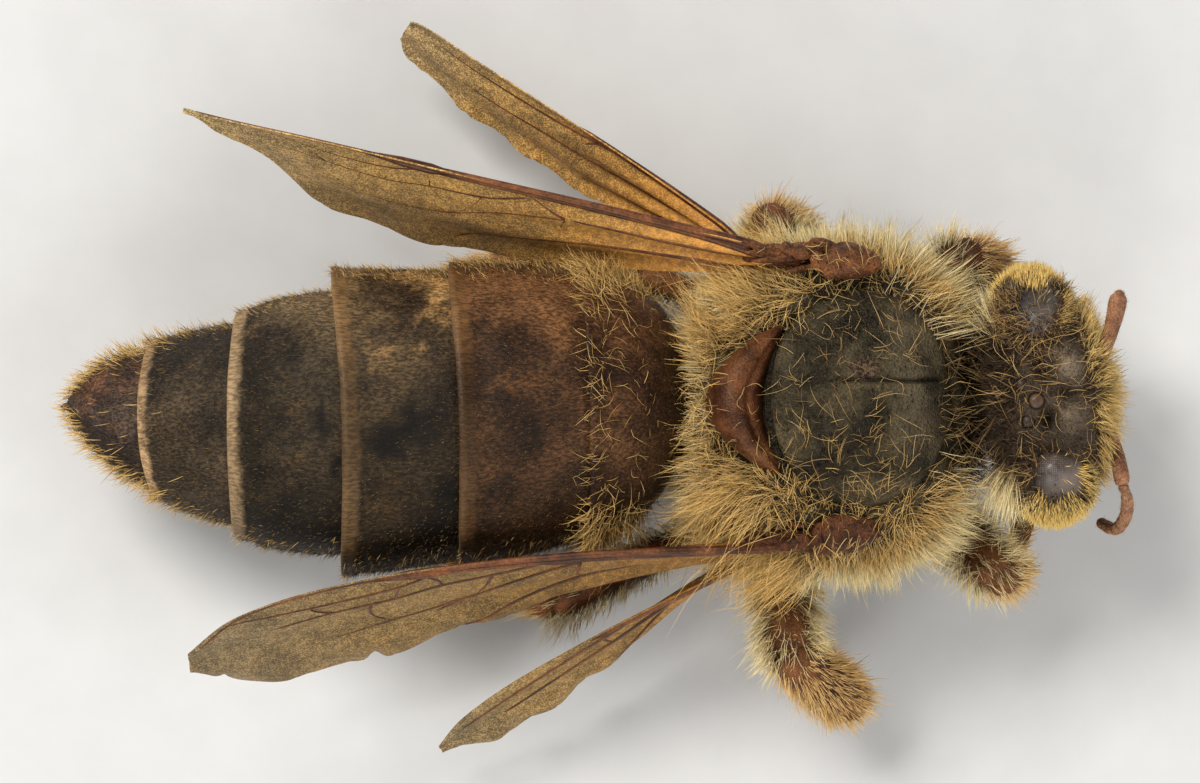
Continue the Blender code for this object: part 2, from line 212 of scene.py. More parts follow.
def put_points(piece: Piece, places: Array) -> None:
    """Moves the piece's vertices, as sculpting does."""
    piece.data.vertices.foreach_set("co", places.ravel())
    piece.data.update()


def mark(piece: Piece, name: str, values: Array) -> None:
    """Keeps one number for each vertex, which a finish reads by name."""
    layer = piece.data.attributes.get(name) or piece.data.attributes.new(name, "FLOAT", "POINT")
    layer.data.foreach_set("value", np.asarray(values, np.float32))


def apply(piece: Piece, kind: str, **settings: float) -> None:
    """Adds one modifier with its settings and applies it.

    Args:
        piece: The piece.
        kind: The modifier's type.
        settings: The modifier's own settings.
    """
    choose(piece)
    modifier = piece.modifiers.new(kind.lower(), kind)
    for key, value in settings.items():
        setattr(modifier, key, value)
    bpy.ops.object.modifier_apply(modifier=modifier.name)


def refine(piece: Piece, levels: int) -> None:
    """Rounds the mesh by subdivision."""
    apply(piece, "SUBSURF", levels=levels, render_levels=levels)


def ring(
    centre: Array,
    across: Array,
    up: Array,
    half: float,
    rise: float,
    drop: float,
    sides: int,
    square: float = 2.0,
) -> Array:
    """One closed section across a form.

    Args:
        centre: Its middle.
        across: The direction of its half width.
        up: The direction of its rise, and against it of its drop.
        half: Half of its width.
        rise: How far it reaches up.
        drop: How far it reaches down.
        sides: How many points it has.
        square: 2 for an ellipse, more for fuller corners.

    Returns:
        The points, one a row.
    """
    turn = np.arange(sides) * (2 * math.pi / sides)
    c = np.sign(np.cos(turn)) * np.abs(np.cos(turn)) ** (2 / square)
    s = np.sign(np.sin(turn)) * np.abs(np.sin(turn)) ** (2 / square)
    reach = np.where(s > 0, s * rise, s * drop)
    return np.asarray(centre) + np.outer(c * half, across) + np.outer(reach, up)


def loft(name: str, rings: Sequence[Array]) -> Piece:
    """A closed form through sections: a circle extruded from one to the next, then closed at its two poles.

    Args:
        name: What the piece is called.
        rings: The sections, all with as many points.

    Returns:
        The piece, in object mode.
    """
    clear_choice()
    bpy.ops.mesh.primitive_circle_add(vertices=len(rings[0]), radius=1.0, location=(0, 0, 0))
    piece = bpy.context.object
    piece.name = name
    bpy.ops.object.mode_set(mode="EDIT")
    bpy.ops.mesh.select_mode(type="EDGE")
    bpy.ops.mesh.select_all(action="SELECT")
    mesh = bmesh.from_edit_mesh(piece.data)
    mesh.verts.ensure_lookup_table()
    for vert, place in zip(list(mesh.verts), rings[0]):
        vert.co = place
    bmesh.update_edit_mesh(piece.data)
    before = {tuple(vert.co): k for k, vert in enumerate(mesh.verts)}
    for places in rings[1:]:
        bpy.ops.mesh.extrude_edges_indiv()
        mesh = bmesh.from_edit_mesh(piece.data)
        after = {}
        for vert in mesh.verts:
            if vert.select:
                k = before[tuple(vert.co)]
                vert.co = places[k]
                after[tuple(vert.co)] = k
        before = after
        bmesh.update_edit_mesh(piece.data)
    bpy.ops.mesh.select_all(action="DESELECT")
    bpy.ops.mesh.select_non_manifold()
    bpy.ops.mesh.fill_holes(sides=0)
    bpy.ops.mesh.select_mode(type="FACE")
    bpy.ops.mesh.select_all(action="DESELECT")
    mesh = bmesh.from_edit_mesh(piece.data)
    for face in mesh.faces:
        face.select = len(face.verts) > 4
    bmesh.update_edit_mesh(piece.data)
    bpy.ops.mesh.poke()
    bpy.ops.mesh.select_all(action="SELECT")
    bpy.ops.mesh.normals_make_consistent(inside=False)
    bpy.ops.object.mode_set(mode="OBJECT")
    list_in_order(piece, np.concatenate([*rings, [pole_of(rings[0]), pole_of(rings[-1])]]))
    return piece


def pole_of(places: Array) -> Array:
    """The middle of a closing face, its corners weighted by the edges beside them.

    Args:
        places: The face's corners in order, one a row.

    Returns:
        The middle.
    """
    edges = np.linalg.norm(places - np.roll(places, 1, axis=0), axis=1)
    weight = edges + np.roll(edges, -1)
    return weight @ places / weight.sum()


def list_in_order(piece: Piece, places: Array) -> None:
    """Lists a new form's points and faces in one set order, which the mesh tools don't keep from run to run.

    Args:
        piece: The form, in object mode.
        places: Where its points lie, in the order wanted.
    """
    places = places.astype(np.float32).astype(float)
    tree = KDTree(len(places))
    for k, place in enumerate(places):
        tree.insert(place, k)
    tree.balance()
    ranks = np.array([tree.find(vert.co)[1] for vert in piece.data.vertices])
    order = np.argsort(ranks, kind="stable")
    fresh = np.argsort(order)
    faces = []
    for face in piece.data.polygons:
        corners = [int(fresh[k]) for k in face.vertices]
        first = corners.index(min(corners))
        faces.append(corners[first:] + corners[:first])
    piece.data.clear_geometry()
    piece.data.from_pydata(places[ranks[order]].tolist(), [], sorted(faces))
    piece.data.update()


def globe(detail: int) -> Array:
    """The points of a sphere of radius one, pole to pole.

    Args:
        detail: The number of steps from pole to pole.

    Returns:
        The points, one a row.
    """
    turn = np.arange(2 * detail) * (math.pi / detail)
    tilt = np.arange(1, detail) * (math.pi / detail)
    rings = np.stack((np.outer(np.sin(tilt), np.cos(turn)), np.outer(np.sin(tilt), np.sin(turn))), -1)
    height = np.repeat(np.cos(tilt), 2 * detail)[:, None]
    middle = np.concatenate((rings.reshape(-1, 2), height), axis=1)
    return np.concatenate(([(0.0, 0.0, 1.0)], middle, [(0.0, 0.0, -1.0)]))


def frame_along(direction: Array) -> tuple[Array, Array]:
    """Two directions square to a third: one level, the other as upright as it goes.

    Args:
        direction: The third direction.

    Returns:
        The level direction and the upright one.
    """
    direction = unit(np.asarray(direction, float))
    reference = np.array((0.0, 0.0, 1.0)) if abs(direction[2]) < 0.93 else np.array((1.0, 0.0, 0.0))
    level = unit(np.cross(direction, reference))
    return level, unit(np.cross(level, direction))


def limb(
    name: str,
    route: Array,
    profile: Sequence[tuple[float, float]],
    width: float,
    depth: float,
    sides: int = 12,
) -> Piece:
    """A closed limb along a route, with a profile that swells and narrows.

    Args:
        name: What the piece is called.
        route: Points of its middle line.
        profile: Pairs of share of the length and share of the full size.
        width: Half of its width where it is fullest.
        depth: Half of its depth there.
        sides: Points in each section.

    Returns:
        The piece.
    """
    route = np.asarray(route, float)
    lengths = np.r_[0.0, np.cumsum(np.linalg.norm(np.diff(route, axis=0), axis=1))]
    shares = np.array([p[0] for p in profile])
    sizes = np.array([p[1] for p in profile])
    at = shares * lengths[-1]
    middles = (
        curve_through(lengths, route, at)
        if len(route) > 2
        else route[0] + np.outer(shares, route[1] - route[0])
    )
    ahead = np.gradient(middles, axis=0)
    rings = []
    for middle, direction, size in zip(middles, ahead, sizes):
        level, upright = frame_along(direction)
        rings.append(ring(middle, level, upright, width * size, depth * size, depth * size, sides))
    return loft(name, rings)


def ball(name: str, centre: Array, radii: Array, turn: Optional[Matrix] = None, detail: int = 12) -> Piece:
    """A rounded form, as a sphere stretched and turned in edit mode.

    Args:
        name: What the piece is called.
        centre: Its middle.
        radii: Its reach along its own three axes.
        turn: How it is turned, if it is.
        detail: How many rings it has.

    Returns:
        The piece.
    """
    clear_choice()
    bpy.ops.mesh.primitive_uv_sphere_add(
        segments=2 * detail, ring_count=detail, radius=1.0, location=(0, 0, 0)
    )
    piece = bpy.context.object
    piece.name = name
    list_in_order(piece, globe(detail))
    bpy.ops.object.mode_set(mode="EDIT")
    bpy.ops.transform.resize(value=tuple(radii), center_override=(0, 0, 0))
    bpy.ops.object.mode_set(mode="OBJECT")
    if turn is not None:
        piece.data.transform(turn.to_3x3().to_4x4())
    piece.data.transform(Matrix.Translation(Vector(centre)))
    return piece


def join(name: str, parts: Sequence[Piece]) -> Piece:
    """Makes one piece of several.

    Args:
        name: The joined piece's name.
        parts: The pieces to join.

    Returns:
        The joined piece.
    """
    clear_choice()
    for part in parts:
        part.select_set(True)
    bpy.context.view_layer.objects.active = parts[0]
    bpy.ops.object.join()
    parts[0].name = name
    return parts[0]


def settle(
    piece: Piece, finish: "Finish", nodes: Sequence[str] = (), bent: float = 180.0
) -> Piece:
    """Carries a shaped piece to its place in metres, dresses it, hangs it on the root and hides the solids
    that it stands for.

    Args:
        piece: The shaped mesh, in millimetres.
        finish: Its material.
        nodes: The solids that it stands for.
        bent: Edges bent more than this many degrees stay sharp.

    Returns:
        The piece.
    """
    piece.data.transform(Matrix.Scale(MM, 4) @ Matrix.Translation(Vector(SHIFT)))
    piece.data.name = piece.name
    piece.data.materials.clear()
    piece.data.materials.append(finish.material())
    choose(piece)
    if bent < 180.0:
        bpy.ops.object.shade_smooth_by_angle(angle=math.radians(bent))
    else:
        bpy.ops.object.shade_smooth()
    clear_choice()
    tell_frame(piece, nodes)
    return piece


def tell_frame(piece: Piece, nodes: Sequence[str] = ()) -> None:
    """Hangs the piece on the root, hides the solids that it stands for, and reports it.

    Args:
        piece: The finished piece.
        nodes: The nodes that it stands for.
    """
    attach(piece, "root")
    if nodes:
        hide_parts(*nodes)
    LOG.info("%-26s %7d faces", piece.name, len(piece.data.polygons))


# ---------------------------------------------------------------- finishes
class Graph:
    """A node tree under construction."""

    def __init__(self, tree: bpy.types.NodeTree) -> None:
        """Takes an empty tree."""
        self.tree = tree

    def add(self, kind: str, inputs: Optional[dict] = None, **settings: object) -> bpy.types.Node:
        """Adds a node.

        Args:
            kind: Its type, without the ShaderNode before it.
            inputs: What each input holds: a value, or a socket to link.
            settings: Its own properties.

        Returns:
            The node.
        """
        node = self.tree.nodes.new("ShaderNode" + kind)
        for key, value in settings.items():
            setattr(node, key, value)
        for key, value in (inputs or {}).items():
            if isinstance(value, bpy.types.NodeSocket):
                self.tree.links.new(value, node.inputs[key])
            else:
                node.inputs[key].default_value = value
        return node

    def mix(self, factor: object, first: object, second: object, how: str = "MIX") -> bpy.types.NodeSocket:
        """Blends two colours by a factor, each of them a value or a socket.

        Args:
            factor: The share of the second colour.
            first: The first colour.
            second: The second colour.
            how: The way of blending.

        Returns:
            The blended colour.
        """
        node = self.add("Mix", data_type="RGBA", blend_type=how, clamp_factor=True)
        for index, value in ((0, factor), (6, first), (7, second)):
            if isinstance(value, bpy.types.NodeSocket):
                self.tree.links.new(value, node.inputs[index])
            elif index == 0:
                node.inputs[index].default_value = value
            else:
                node.inputs[index].default_value = (*value, 1.0)
        return node.outputs[2]

    def maths(self, what: str, first: object, second: object = 0.0) -> bpy.types.NodeSocket:
        """One sum on one or two values or sockets."""
        return self.add("Math", {0: first, 1: second}, operation=what).outputs[0]

    def rise(
        self, value: object, low: float, high: float, start: float = 0.0, end: float = 1.0
    ) -> bpy.types.NodeSocket:
        """A smooth rise of a value from start to end."""
        inputs = {"Value": value, "From Min": low, "From Max": high, "To Min": start, "To Max": end}
        return self.add("MapRange", inputs, interpolation_type="SMOOTHSTEP").outputs[0]

    def scaled(self, colour: object, share: object) -> bpy.types.NodeSocket:
        """A colour made lighter or darker by a share."""
        return self.add("VectorMath", {0: colour, "Scale": share}, operation="SCALE").outputs[0]

    def noise(
        self, place: object, scale: float, detail: float = 4.0, rough: float = 0.55
    ) -> bpy.types.NodeSocket:
        """Noise with this many bumps in a metre."""
        inputs = {"Vector": place, "Scale": scale, "Detail": detail, "Roughness": rough}
        return self.add("TexNoise", inputs).outputs[0]

    def object_place(self) -> bpy.types.NodeSocket:
        """The piece's own coordinates."""
        return self.add("TexCoord").outputs["Object"]

    def kept(self, name: str) -> bpy.types.NodeSocket:
        """A number kept in the mesh."""
        return self.add("Attribute", attribute_name=name).outputs["Fac"]


def new_group(
    name: str,
    inputs: dict[str, tuple[str, object]],
    outputs: dict[str, str],
) -> tuple[bpy.types.NodeTree, Graph]:
    """Starts a shared node group with named sockets.

    Args:
        name: The group's name.
        inputs: Each input's kind and the value it starts with.
        outputs: Each output's kind.

    Returns:
        The group and a graph to build it with.
    """
    tree = bpy.data.node_groups.new(name, "ShaderNodeTree")
    for key, (kind, value) in inputs.items():
        socket = tree.interface.new_socket(name=key, in_out="INPUT", socket_type=f"NodeSocket{kind}")
        if kind != "Vector":
            socket.default_value = value
    for key, kind in outputs.items():
        tree.interface.new_socket(name=key, in_out="OUTPUT", socket_type=f"NodeSocket{kind}")
    return tree, Graph(tree)


class Groups:
    """The node groups that several finishes share, each built once."""

    made: dict[str, bpy.types.NodeTree] = {}

    @classmethod
    def chitin(cls) -> bpy.types.NodeTree:
        """The grain of bare shell: a mottle for its colour and a height of fine leathery cells with pits.

        Returns:
            The shared node group.
        """
        if "chitin" in cls.made:
            return cls.made["chitin"]
        inputs = {
            "Place": ("Vector", None),
            "Mottle Scale": ("Float", 900.0),
            "Cell Scale": ("Float", 30000.0),
            "Pit Scale": ("Float", 9000.0),
            "Pit Depth": ("Float", 0.5),
        }
        tree, graph = new_group(
            "chitin_grain", inputs, {"Mottle": "Float", "Height": "Float", "Speck": "Float"}
        )
        given = graph.tree.nodes.new("NodeGroupInput").outputs
        broad = graph.add(
            "TexNoise",
            {"Vector": given["Place"], "Scale": given["Mottle Scale"], "Detail": 5.0, "Roughness": 0.62},
        )
        cells = graph.add(
            "TexVoronoi", {"Vector": given["Place"], "Scale": given["Cell Scale"], "Randomness": 0.9}
        )
        pits = graph.add(
            "TexVoronoi", {"Vector": given["Place"], "Scale": given["Pit Scale"], "Randomness": 1.0}
        )
        grain = graph.add("TexNoise", {"Vector": given["Place"], "Scale": given["Cell Scale"], "Detail": 2.0})
        hollow = graph.rise(pits.outputs["Distance"], 0.05, 0.32, 1.0, 0.0)
        raised = graph.maths("MULTIPLY", cells.outputs["Distance"], 0.5)
        height = graph.maths("SUBTRACT", raised, graph.maths("MULTIPLY", hollow, given["Pit Depth"]))
        out = graph.tree.nodes.new("NodeGroupOutput")
        tree.links.new(broad.outputs[0], out.inputs["Mottle"])
        tree.links.new(height, out.inputs["Height"])
        tree.links.new(grain.outputs[0], out.inputs["Speck"])
        cls.made["chitin"] = tree
        return tree

    @classmethod
    def strand(cls) -> bpy.types.NodeTree:
        """A hair's colour from its root to its tip, with a tint of its own.

        Returns:
            The shared node group.
        """
        if "strand" in cls.made:
            return cls.made["strand"]
        inputs = {
            "Root": ("Color", (0.1, 0.06, 0.03, 1.0)),
            "Tip": ("Color", (0.6, 0.45, 0.2, 1.0)),
            "Tinge": ("Color", (0.6, 0.45, 0.2, 1.0)),
            "Share": ("Float", 0.4),
        }
        tree, graph = new_group("strand_colour", inputs, {"Colour": "Color"})
        given = graph.tree.nodes.new("NodeGroupInput").outputs
        along = graph.rise(graph.kept("along"), 0.0, 0.75)
        tint = graph.kept("tint")
        shaded = graph.mix(along, given["Root"], given["Tip"])
        picked = graph.rise(tint, 0.35, 0.95)
        tinged = graph.mix(graph.maths("MULTIPLY", picked, given["Share"]), shaded, given["Tinge"])
        dim = graph.rise(tint, 0.0, 0.5, 0.62, 1.0)
        scaled = graph.scaled(tinged, dim)
        out = graph.tree.nodes.new("NodeGroupOutput")
        tree.links.new(scaled, out.inputs["Colour"])
        cls.made["strand"] = tree
        return tree


@dataclass(frozen=True)
class Finish:
    """What every finish has: a name, and a material that is built once."""

    name: str

    def material(self) -> bpy.types.Material:
        """The material, made the first time that it is asked for.

        Returns:
            The material.
        """
        found = bpy.data.materials.get(self.name)
        if found:
            return found
        made = bpy.data.materials.new(self.name)
        made.use_nodes = True
        made.node_tree.nodes.clear()
        graph = Graph(made.node_tree)
        shader = graph.add("BsdfPrincipled")
        out = graph.add("OutputMaterial", {"Surface": shader.outputs[0]})
        self.paint(graph, shader)
        out.location = (400, 0)
        return made

    def paint(self, graph: Graph, shader: bpy.types.Node) -> None:
        """Fills in the shader. Each kind of finish has its own."""
        raise NotImplementedError

    @staticmethod
    def bump(
        graph: Graph, shader: bpy.types.Node, height: object, depth: float, strength: float = 1.0
    ) -> None:
        """Feeds a height, in shares of a depth in metres, to the shader's normal."""
        node = graph.add("Bump", {"Height": height, "Distance": depth, "Strength": strength})
        graph.tree.links.new(node.outputs[0], shader.inputs["Normal"])


@dataclass(frozen=True)
class Shell(Finish):
    """Bare shell: two or three colours in patches, a leathery grain, and a gloss that varies."""

    dark: Colour = (0.01, 0.008, 0.006)
    light: Colour = (0.06, 0.045, 0.028)
    patch: Colour = (0.09, 0.045, 0.03)
    patch_share: float = 0.0
    mottle: float = 900.0
    cells: float = 26000.0
    pits: float = 8000.0
    pit_depth: float = 0.5
    depth: float = 8e-6
    rough: tuple[float, float] = (0.35, 0.6)
    shine: float = 0.5
    coat: float = 0.0
    glow: float = 0.0
    # groove turns on painted shade in the marked grooves and hollows, the crumbly patch and a painted sheen.
    groove: bool = False
    # The colour of the painted sheen that the mesh marks.
    painted_light: Colour = (0.20, 0.15, 0.10)

    def paint(self, graph: Graph, shader: bpy.types.Node) -> None:
        """Mixes the patches of colour and the grain, and where groove is set, painted shade in the grooves
        and a painted sheen.

        Args:
            graph: The material's graph.
            shader: The material's main shader.
        """
        place = graph.object_place()
        grain = graph.tree.nodes.new("ShaderNodeGroup")
        grain.node_tree = Groups.chitin()
        graph.tree.links.new(place, grain.inputs["Place"])
        for key, value in (
            ("Mottle Scale", self.mottle), ("Cell Scale", self.cells), ("Pit Scale", self.pits),
            ("Pit Depth", self.pit_depth),
        ):
            grain.inputs[key].default_value = value
        broad = graph.rise(grain.outputs["Mottle"], 0.36, 0.66)
        colour = graph.mix(broad, self.dark, self.light)
        if self.patch_share > 0:
            wide = graph.rise(
                graph.noise(place, self.mottle * 0.45, 3.0), 0.60 - self.patch_share * 0.25, 0.74
            )
            colour = graph.mix(wide, colour, self.patch)
        fine = graph.rise(grain.outputs["Speck"], 0.35, 0.68, 0.62, 1.25)
        colour = graph.scaled(colour, fine)
        height = grain.outputs["Height"]
        if self.groove:
            # Painted shade: near black where the mesh marks grooves and hollows.
            seam = graph.kept("groove")
            colour = graph.mix(graph.maths("MULTIPLY", seam, 0.9), colour, (0.004, 0.003, 0.002))
            crust = graph.kept("crust")
            flecks = graph.rise(graph.noise(place, 16000.0, 5.0, 0.8), 0.46, 0.6)
            crumb = graph.mix(flecks, (0.010, 0.007, 0.005), (0.115, 0.070, 0.042))
            colour = graph.mix(crust, colour, crumb)
            # Painted sheen: a paler colour laid where the mesh marks it.
            painted_light = graph.mix(broad, tuple(c * 0.45 for c in self.painted_light), self.painted_light)
            colour = graph.mix(
                graph.maths(
                    "MULTIPLY", graph.kept("painted_light"), graph.rise(grain.outputs["Speck"], 0.3, 0.6, 0.5, 1.0)
                ),
                colour, painted_light,
            )
        graph.tree.links.new(colour, shader.inputs["Base Color"])
        gloss = graph.rise(grain.outputs["Mottle"], 0.3, 0.7, self.rough[0], self.rough[1])
        graph.tree.links.new(gloss, shader.inputs["Roughness"])
        shader.inputs["Specular IOR Level"].default_value = self.shine
        shader.inputs["Coat Weight"].default_value = self.coat
        shader.inputs["Coat Roughness"].default_value = 0.22
        shader.inputs["Specular Tint"].default_value = (1.0, 0.82, 0.62, 1.0)
        if self.glow > 0:
            shader.inputs["Subsurface Weight"].default_value = self.glow
            shader.inputs["Subsurface Radius"].default_value = (1.0, 0.45, 0.2)
            shader.inputs["Subsurface Scale"].default_value = 0.0002
        self.bump(graph, shader, height, self.depth)


@dataclass(frozen=True)
class Plate(Finish):
    """A ring of the abdomen: mottled shell under a velvet of short hair, with a horn-coloured rear margin."""

    dark: Colour = (0.02, 0.015, 0.011)
    light: Colour = (0.07, 0.05, 0.03)
    warm: Colour = (0.12, 0.05, 0.02)
    warm_share: float = 0.4
    band: Colour = (0.26, 0.14, 0.06)
    band_width: float = 0.2
    dim: float = 1.0
    front: float = 1.0
    # How many times lighter the plate is painted towards the bee's left, where the key light falls: painted
    # light.
    upper: float = 1.6

    def paint(self, graph: Graph, shader: bpy.types.Node) -> None:
        """Mixes the mottle, the velvet's specks and the margin, which the mesh tells by its rim, with painted
        light and shade across the bee and a painted highlight on the lip.

        Args:
            graph: The material's graph.
            shader: The material's main shader.
        """
        place = graph.object_place()
        broad = graph.noise(place, 520.0, 6.0, 0.6)
        colour = graph.mix(graph.rise(broad, 0.38, 0.62), self.dark, self.light)
        warm = graph.rise(
            graph.noise(place, 900.0, 7.0, 0.65), 0.62 - 0.2 * self.warm_share, 0.74 - 0.1 * self.warm_share
        )
        colour = graph.mix(graph.maths("MULTIPLY", warm, 0.85), colour, self.warm)
        stretched = graph.add("Mapping", {"Vector": place, "Scale": (0.45, 1.0, 1.0)}).outputs[0]
        velvet = graph.add(
            "TexNoise", {"Vector": stretched, "Scale": 26000.0, "Detail": 3.0, "Roughness": 0.7}
        ).outputs[0]
        fleck = graph.rise(velvet, 0.38, 0.66, 0.45, 1.7)
        colour = graph.scaled(colour, fleck)
        stain = graph.rise(graph.noise(place, 620.0, 5.0, 0.6), 0.49, 0.60, 1.0, 0.50)
        stain = graph.maths("MULTIPLY", stain, graph.rise(graph.kept("stain"), 0.22, 0.95, 1.0, 0.14))
        stain = graph.maths("MULTIPLY", stain, graph.rise(graph.kept("rim"), 1.5, 2.1, 1.0, self.front))
        sideways = graph.add("SeparateXYZ", {"Vector": place}).outputs["Y"]
        # Painted light and shade across the bee: lighter towards its left, where the key light falls, and
        # down to 0.42 towards its right.
        stain = graph.maths("MULTIPLY", stain, graph.rise(sideways, -0.0002, 0.0021, 0.85, self.upper))
        stain = graph.maths("MULTIPLY", stain, graph.rise(sideways, -0.0020, -0.0006, 0.42, 1.0))
        colour = graph.scaled(colour, stain)
        rim = graph.kept("rim")
        wobble = graph.maths(
            "MULTIPLY", graph.maths("SUBTRACT", graph.noise(place, 3200.0, 6.0, 0.7), 0.5), 0.30
        )
        edge = graph.maths("ADD", rim, wobble)
        margin = graph.rise(edge, self.band_width * 0.62, self.band_width * 1.30, 1.0, 0.0)
        across = graph.add("Mapping", {"Vector": place, "Scale": (0.20, 1.0, 1.0)}).outputs[0]
        ridges = graph.add(
            "TexNoise", {"Vector": across, "Scale": 26000.0, "Detail": 2.0, "Roughness": 0.6}
        ).outputs[0]
        ridge = graph.rise(ridges, 0.38, 0.62)
        horn = graph.mix(
            ridge, tuple(c * 0.66 for c in self.band), tuple(min(1.0, c * 1.28) for c in self.band)
        )
        # Painted highlight: paler along the very edge of the margin's lip.
        horn = graph.mix(graph.rise(rim, 0.0, self.band_width * 0.3, 0.12, 0.0), horn, (0.34, 0.20, 0.09))
        shade = graph.maths(
            "MULTIPLY", graph.rise(graph.kept("flank"), 0.0, 1.0, self.dim, 1.1),
            graph.rise(broad, 0.35, 0.6, 0.65, 1.1),
        )
        shade = graph.maths(
            "MULTIPLY", shade, graph.rise(sideways, -0.0022, 0.0010, 0.55 + 0.4 * (self.dim > 0.8), 1.1)
        )
        horn = graph.scaled(horn, shade)
        colour = graph.mix(margin, colour, horn)
        graph.tree.links.new(colour, shader.inputs["Base Color"])
        gloss = graph.maths(
            "ADD", graph.maths("MULTIPLY", margin, -0.12), graph.rise(broad, 0.3, 0.7, 0.46, 0.62)
        )
        graph.tree.links.new(gloss, shader.inputs["Roughness"])
        shader.inputs["Specular IOR Level"].default_value = 0.14
        shader.inputs["Specular Tint"].default_value = (1.0, 0.95, 0.87, 1.0)
        bumps = graph.mix(margin, velvet, ridges)
        self.bump(graph, shader, bumps, 2.2e-5, 0.9)


@dataclass(frozen=True)
class Facets(Finish):
    """The compound eye: small six-sided lenses over a dark, glossy dome."""

    dark: Colour = (0.028, 0.019, 0.015)
    light: Colour = (0.116, 0.088, 0.072)

    def paint(self, graph: Graph, shader: bpy.types.Node) -> None:
        """Draws the lenses as near-even cells with a painted highlight at their tops, and paints light and
        shade over the dome: darker at its rear and outer side, lighter at its front.

        Args:
            graph: The material's graph.
            shader: The material's main shader.
        """
        place = graph.object_place()
        cells = graph.add("TexVoronoi", {"Vector": place, "Scale": 33000.0, "Randomness": 0.22})
        lens = graph.rise(cells.outputs["Distance"], 0.12, 0.52, 1.0, 0.0)
        broad = graph.rise(graph.noise(place, 1100.0, 3.0), 0.38, 0.64)
        colour = graph.mix(broad, self.dark, self.light)
        # Painted highlight: each lens paler at its top.
        colour = graph.mix(graph.maths("MULTIPLY", lens, 0.35), colour, (0.180, 0.132, 0.100))
        apart = graph.add("SeparateXYZ", {"Vector": place})
        # Painted shade: darker towards the dome's rear and its outer side, lighter towards its front.
        painted_light = graph.rise(apart.outputs["X"], 0.0062, 0.0069, 0.30, 1.20)
        outer = graph.rise(
            graph.add("Math", {0: apart.outputs["Y"]}, operation="ABSOLUTE").outputs[0], 0.0009, 0.0017,
            1.35, 0.50,
        )
        painted_light = graph.maths("MULTIPLY", painted_light, outer)
        colour = graph.scaled(colour, painted_light)
        graph.tree.links.new(colour, shader.inputs["Base Color"])
        graph.tree.links.new(graph.rise(broad, 0.0, 1.0, 0.38, 0.46), shader.inputs["Roughness"])
        shader.inputs["Specular IOR Level"].default_value = 0.50
        self.bump(graph, shader, lens, 6e-6, 0.8)


@dataclass(frozen=True)
class Lens(Finish):
    """A simple eye: a clear brown dome with a paler ring."""

    # The brightness this copy is painted with: painted light above one, painted shade below.
    painted_light_scale: float = 1.0

    def paint(self, graph: Graph, shader: bpy.types.Node) -> None:
        """Deepens the colour from the rim to the middle.

        Args:
            graph: The material's graph.
            shader: The material's main shader.
        """
        place = graph.object_place()
        cloud = graph.rise(graph.noise(place, 7000.0, 3.0), 0.35, 0.65)
        deep = graph.mix(cloud, (0.031, 0.015, 0.007), (0.068, 0.034, 0.0155))
        ring = graph.mix(
            graph.rise(graph.kept("height"), 0.42, 0.58), (0.011, 0.007, 0.005), (0.076, 0.039, 0.019)
        )
        colour = graph.mix(graph.rise(graph.kept("height"), 0.66, 0.82), ring, deep)
        # Random flecks, scaled by the copy's painted light and shade.
        fleck = graph.rise(graph.noise(place, 26000.0, 3.0), 0.3, 0.7, 0.75 * self.painted_light_scale, 1.2 * self.painted_light_scale)
        colour = graph.scaled(colour, fleck)
        graph.tree.links.new(colour, shader.inputs["Base Color"])
        shader.inputs["Roughness"].default_value = 0.48
        shader.inputs["Specular IOR Level"].default_value = 0.3
        self.bump(graph, shader, graph.noise(place, 12000.0, 2.0), 3e-6, 0.5)


@dataclass(frozen=True)
class Membrane(Finish):
    """The wing's skin: amber, thin, and set all over with tiny golden hairs."""

    thin: Colour = (0.58, 0.355, 0.105)
    thick: Colour = (0.47, 0.205, 0.036)
    end: Colour = (0.47, 0.350, 0.170)
    alpha: tuple[float, float] = (0.84, 1.0)
    # The brightness this wing is painted with: painted light above one, painted shade below.
    painted_light_scale: float = 1.0

    def paint(self, graph: Graph, shader: bpy.types.Node) -> None:
        """Turns amber at the base to straw and grey at the tip, with fine dark and golden grains in both.

        Args:
            graph: The material's graph.
            shader: The material's main shader.
        """
        place = graph.object_place()
        span = graph.kept("span")
        grains = graph.add("TexVoronoi", {"Vector": place, "Scale": 34000.0, "Randomness": 1.0}).outputs[
            "Distance"
        ]
        grain = graph.rise(grains, 0.15, 0.70, 1.0, 0.0)
        cloud = graph.rise(graph.noise(place, 1700.0, 5.0, 0.6), 0.38, 0.64)
        base = graph.mix(graph.rise(span, 0.1, 0.75), self.thick, self.thin)
        base = graph.mix(graph.rise(span, 0.66, 1.0), base, self.end)
        gap = graph.mix(cloud, (0.29, 0.158, 0.043), (0.135, 0.081, 0.028))
        sparse = graph.rise(cloud, 0.0, 1.0, 0.95, 0.60)
        share = graph.maths("MULTIPLY", graph.rise(grain, 0.15, 0.6), sparse)
        share = graph.maths("ADD", share, graph.rise(span, 0.10, 0.45, 0.55, 0.12))
        colour = graph.mix(share, gap, base)
        # Random mottle, scaled by the wing's painted light and shade.
        painted_light = graph.rise(graph.noise(place, 9000.0, 3.0, 0.7), 0.40, 0.62, 0.75 * self.painted_light_scale, 1.2 * self.painted_light_scale)
        colour = graph.scaled(colour, painted_light)
        graph.tree.links.new(colour, shader.inputs["Base Color"])
        solid = graph.rise(
            graph.maths("ADD", grain, graph.rise(span, 0.15, 0.6, 0.6, 0.0)), 0.0, 1.0, *self.alpha
        )
        graph.tree.links.new(solid, shader.inputs["Alpha"])
        graph.tree.links.new(graph.rise(cloud, 0.0, 1.0, 0.52, 0.68), shader.inputs["Roughness"])
        shader.inputs["Specular IOR Level"].default_value = 0.26
        self.bump(graph, shader, grain, 8e-6, 0.7)


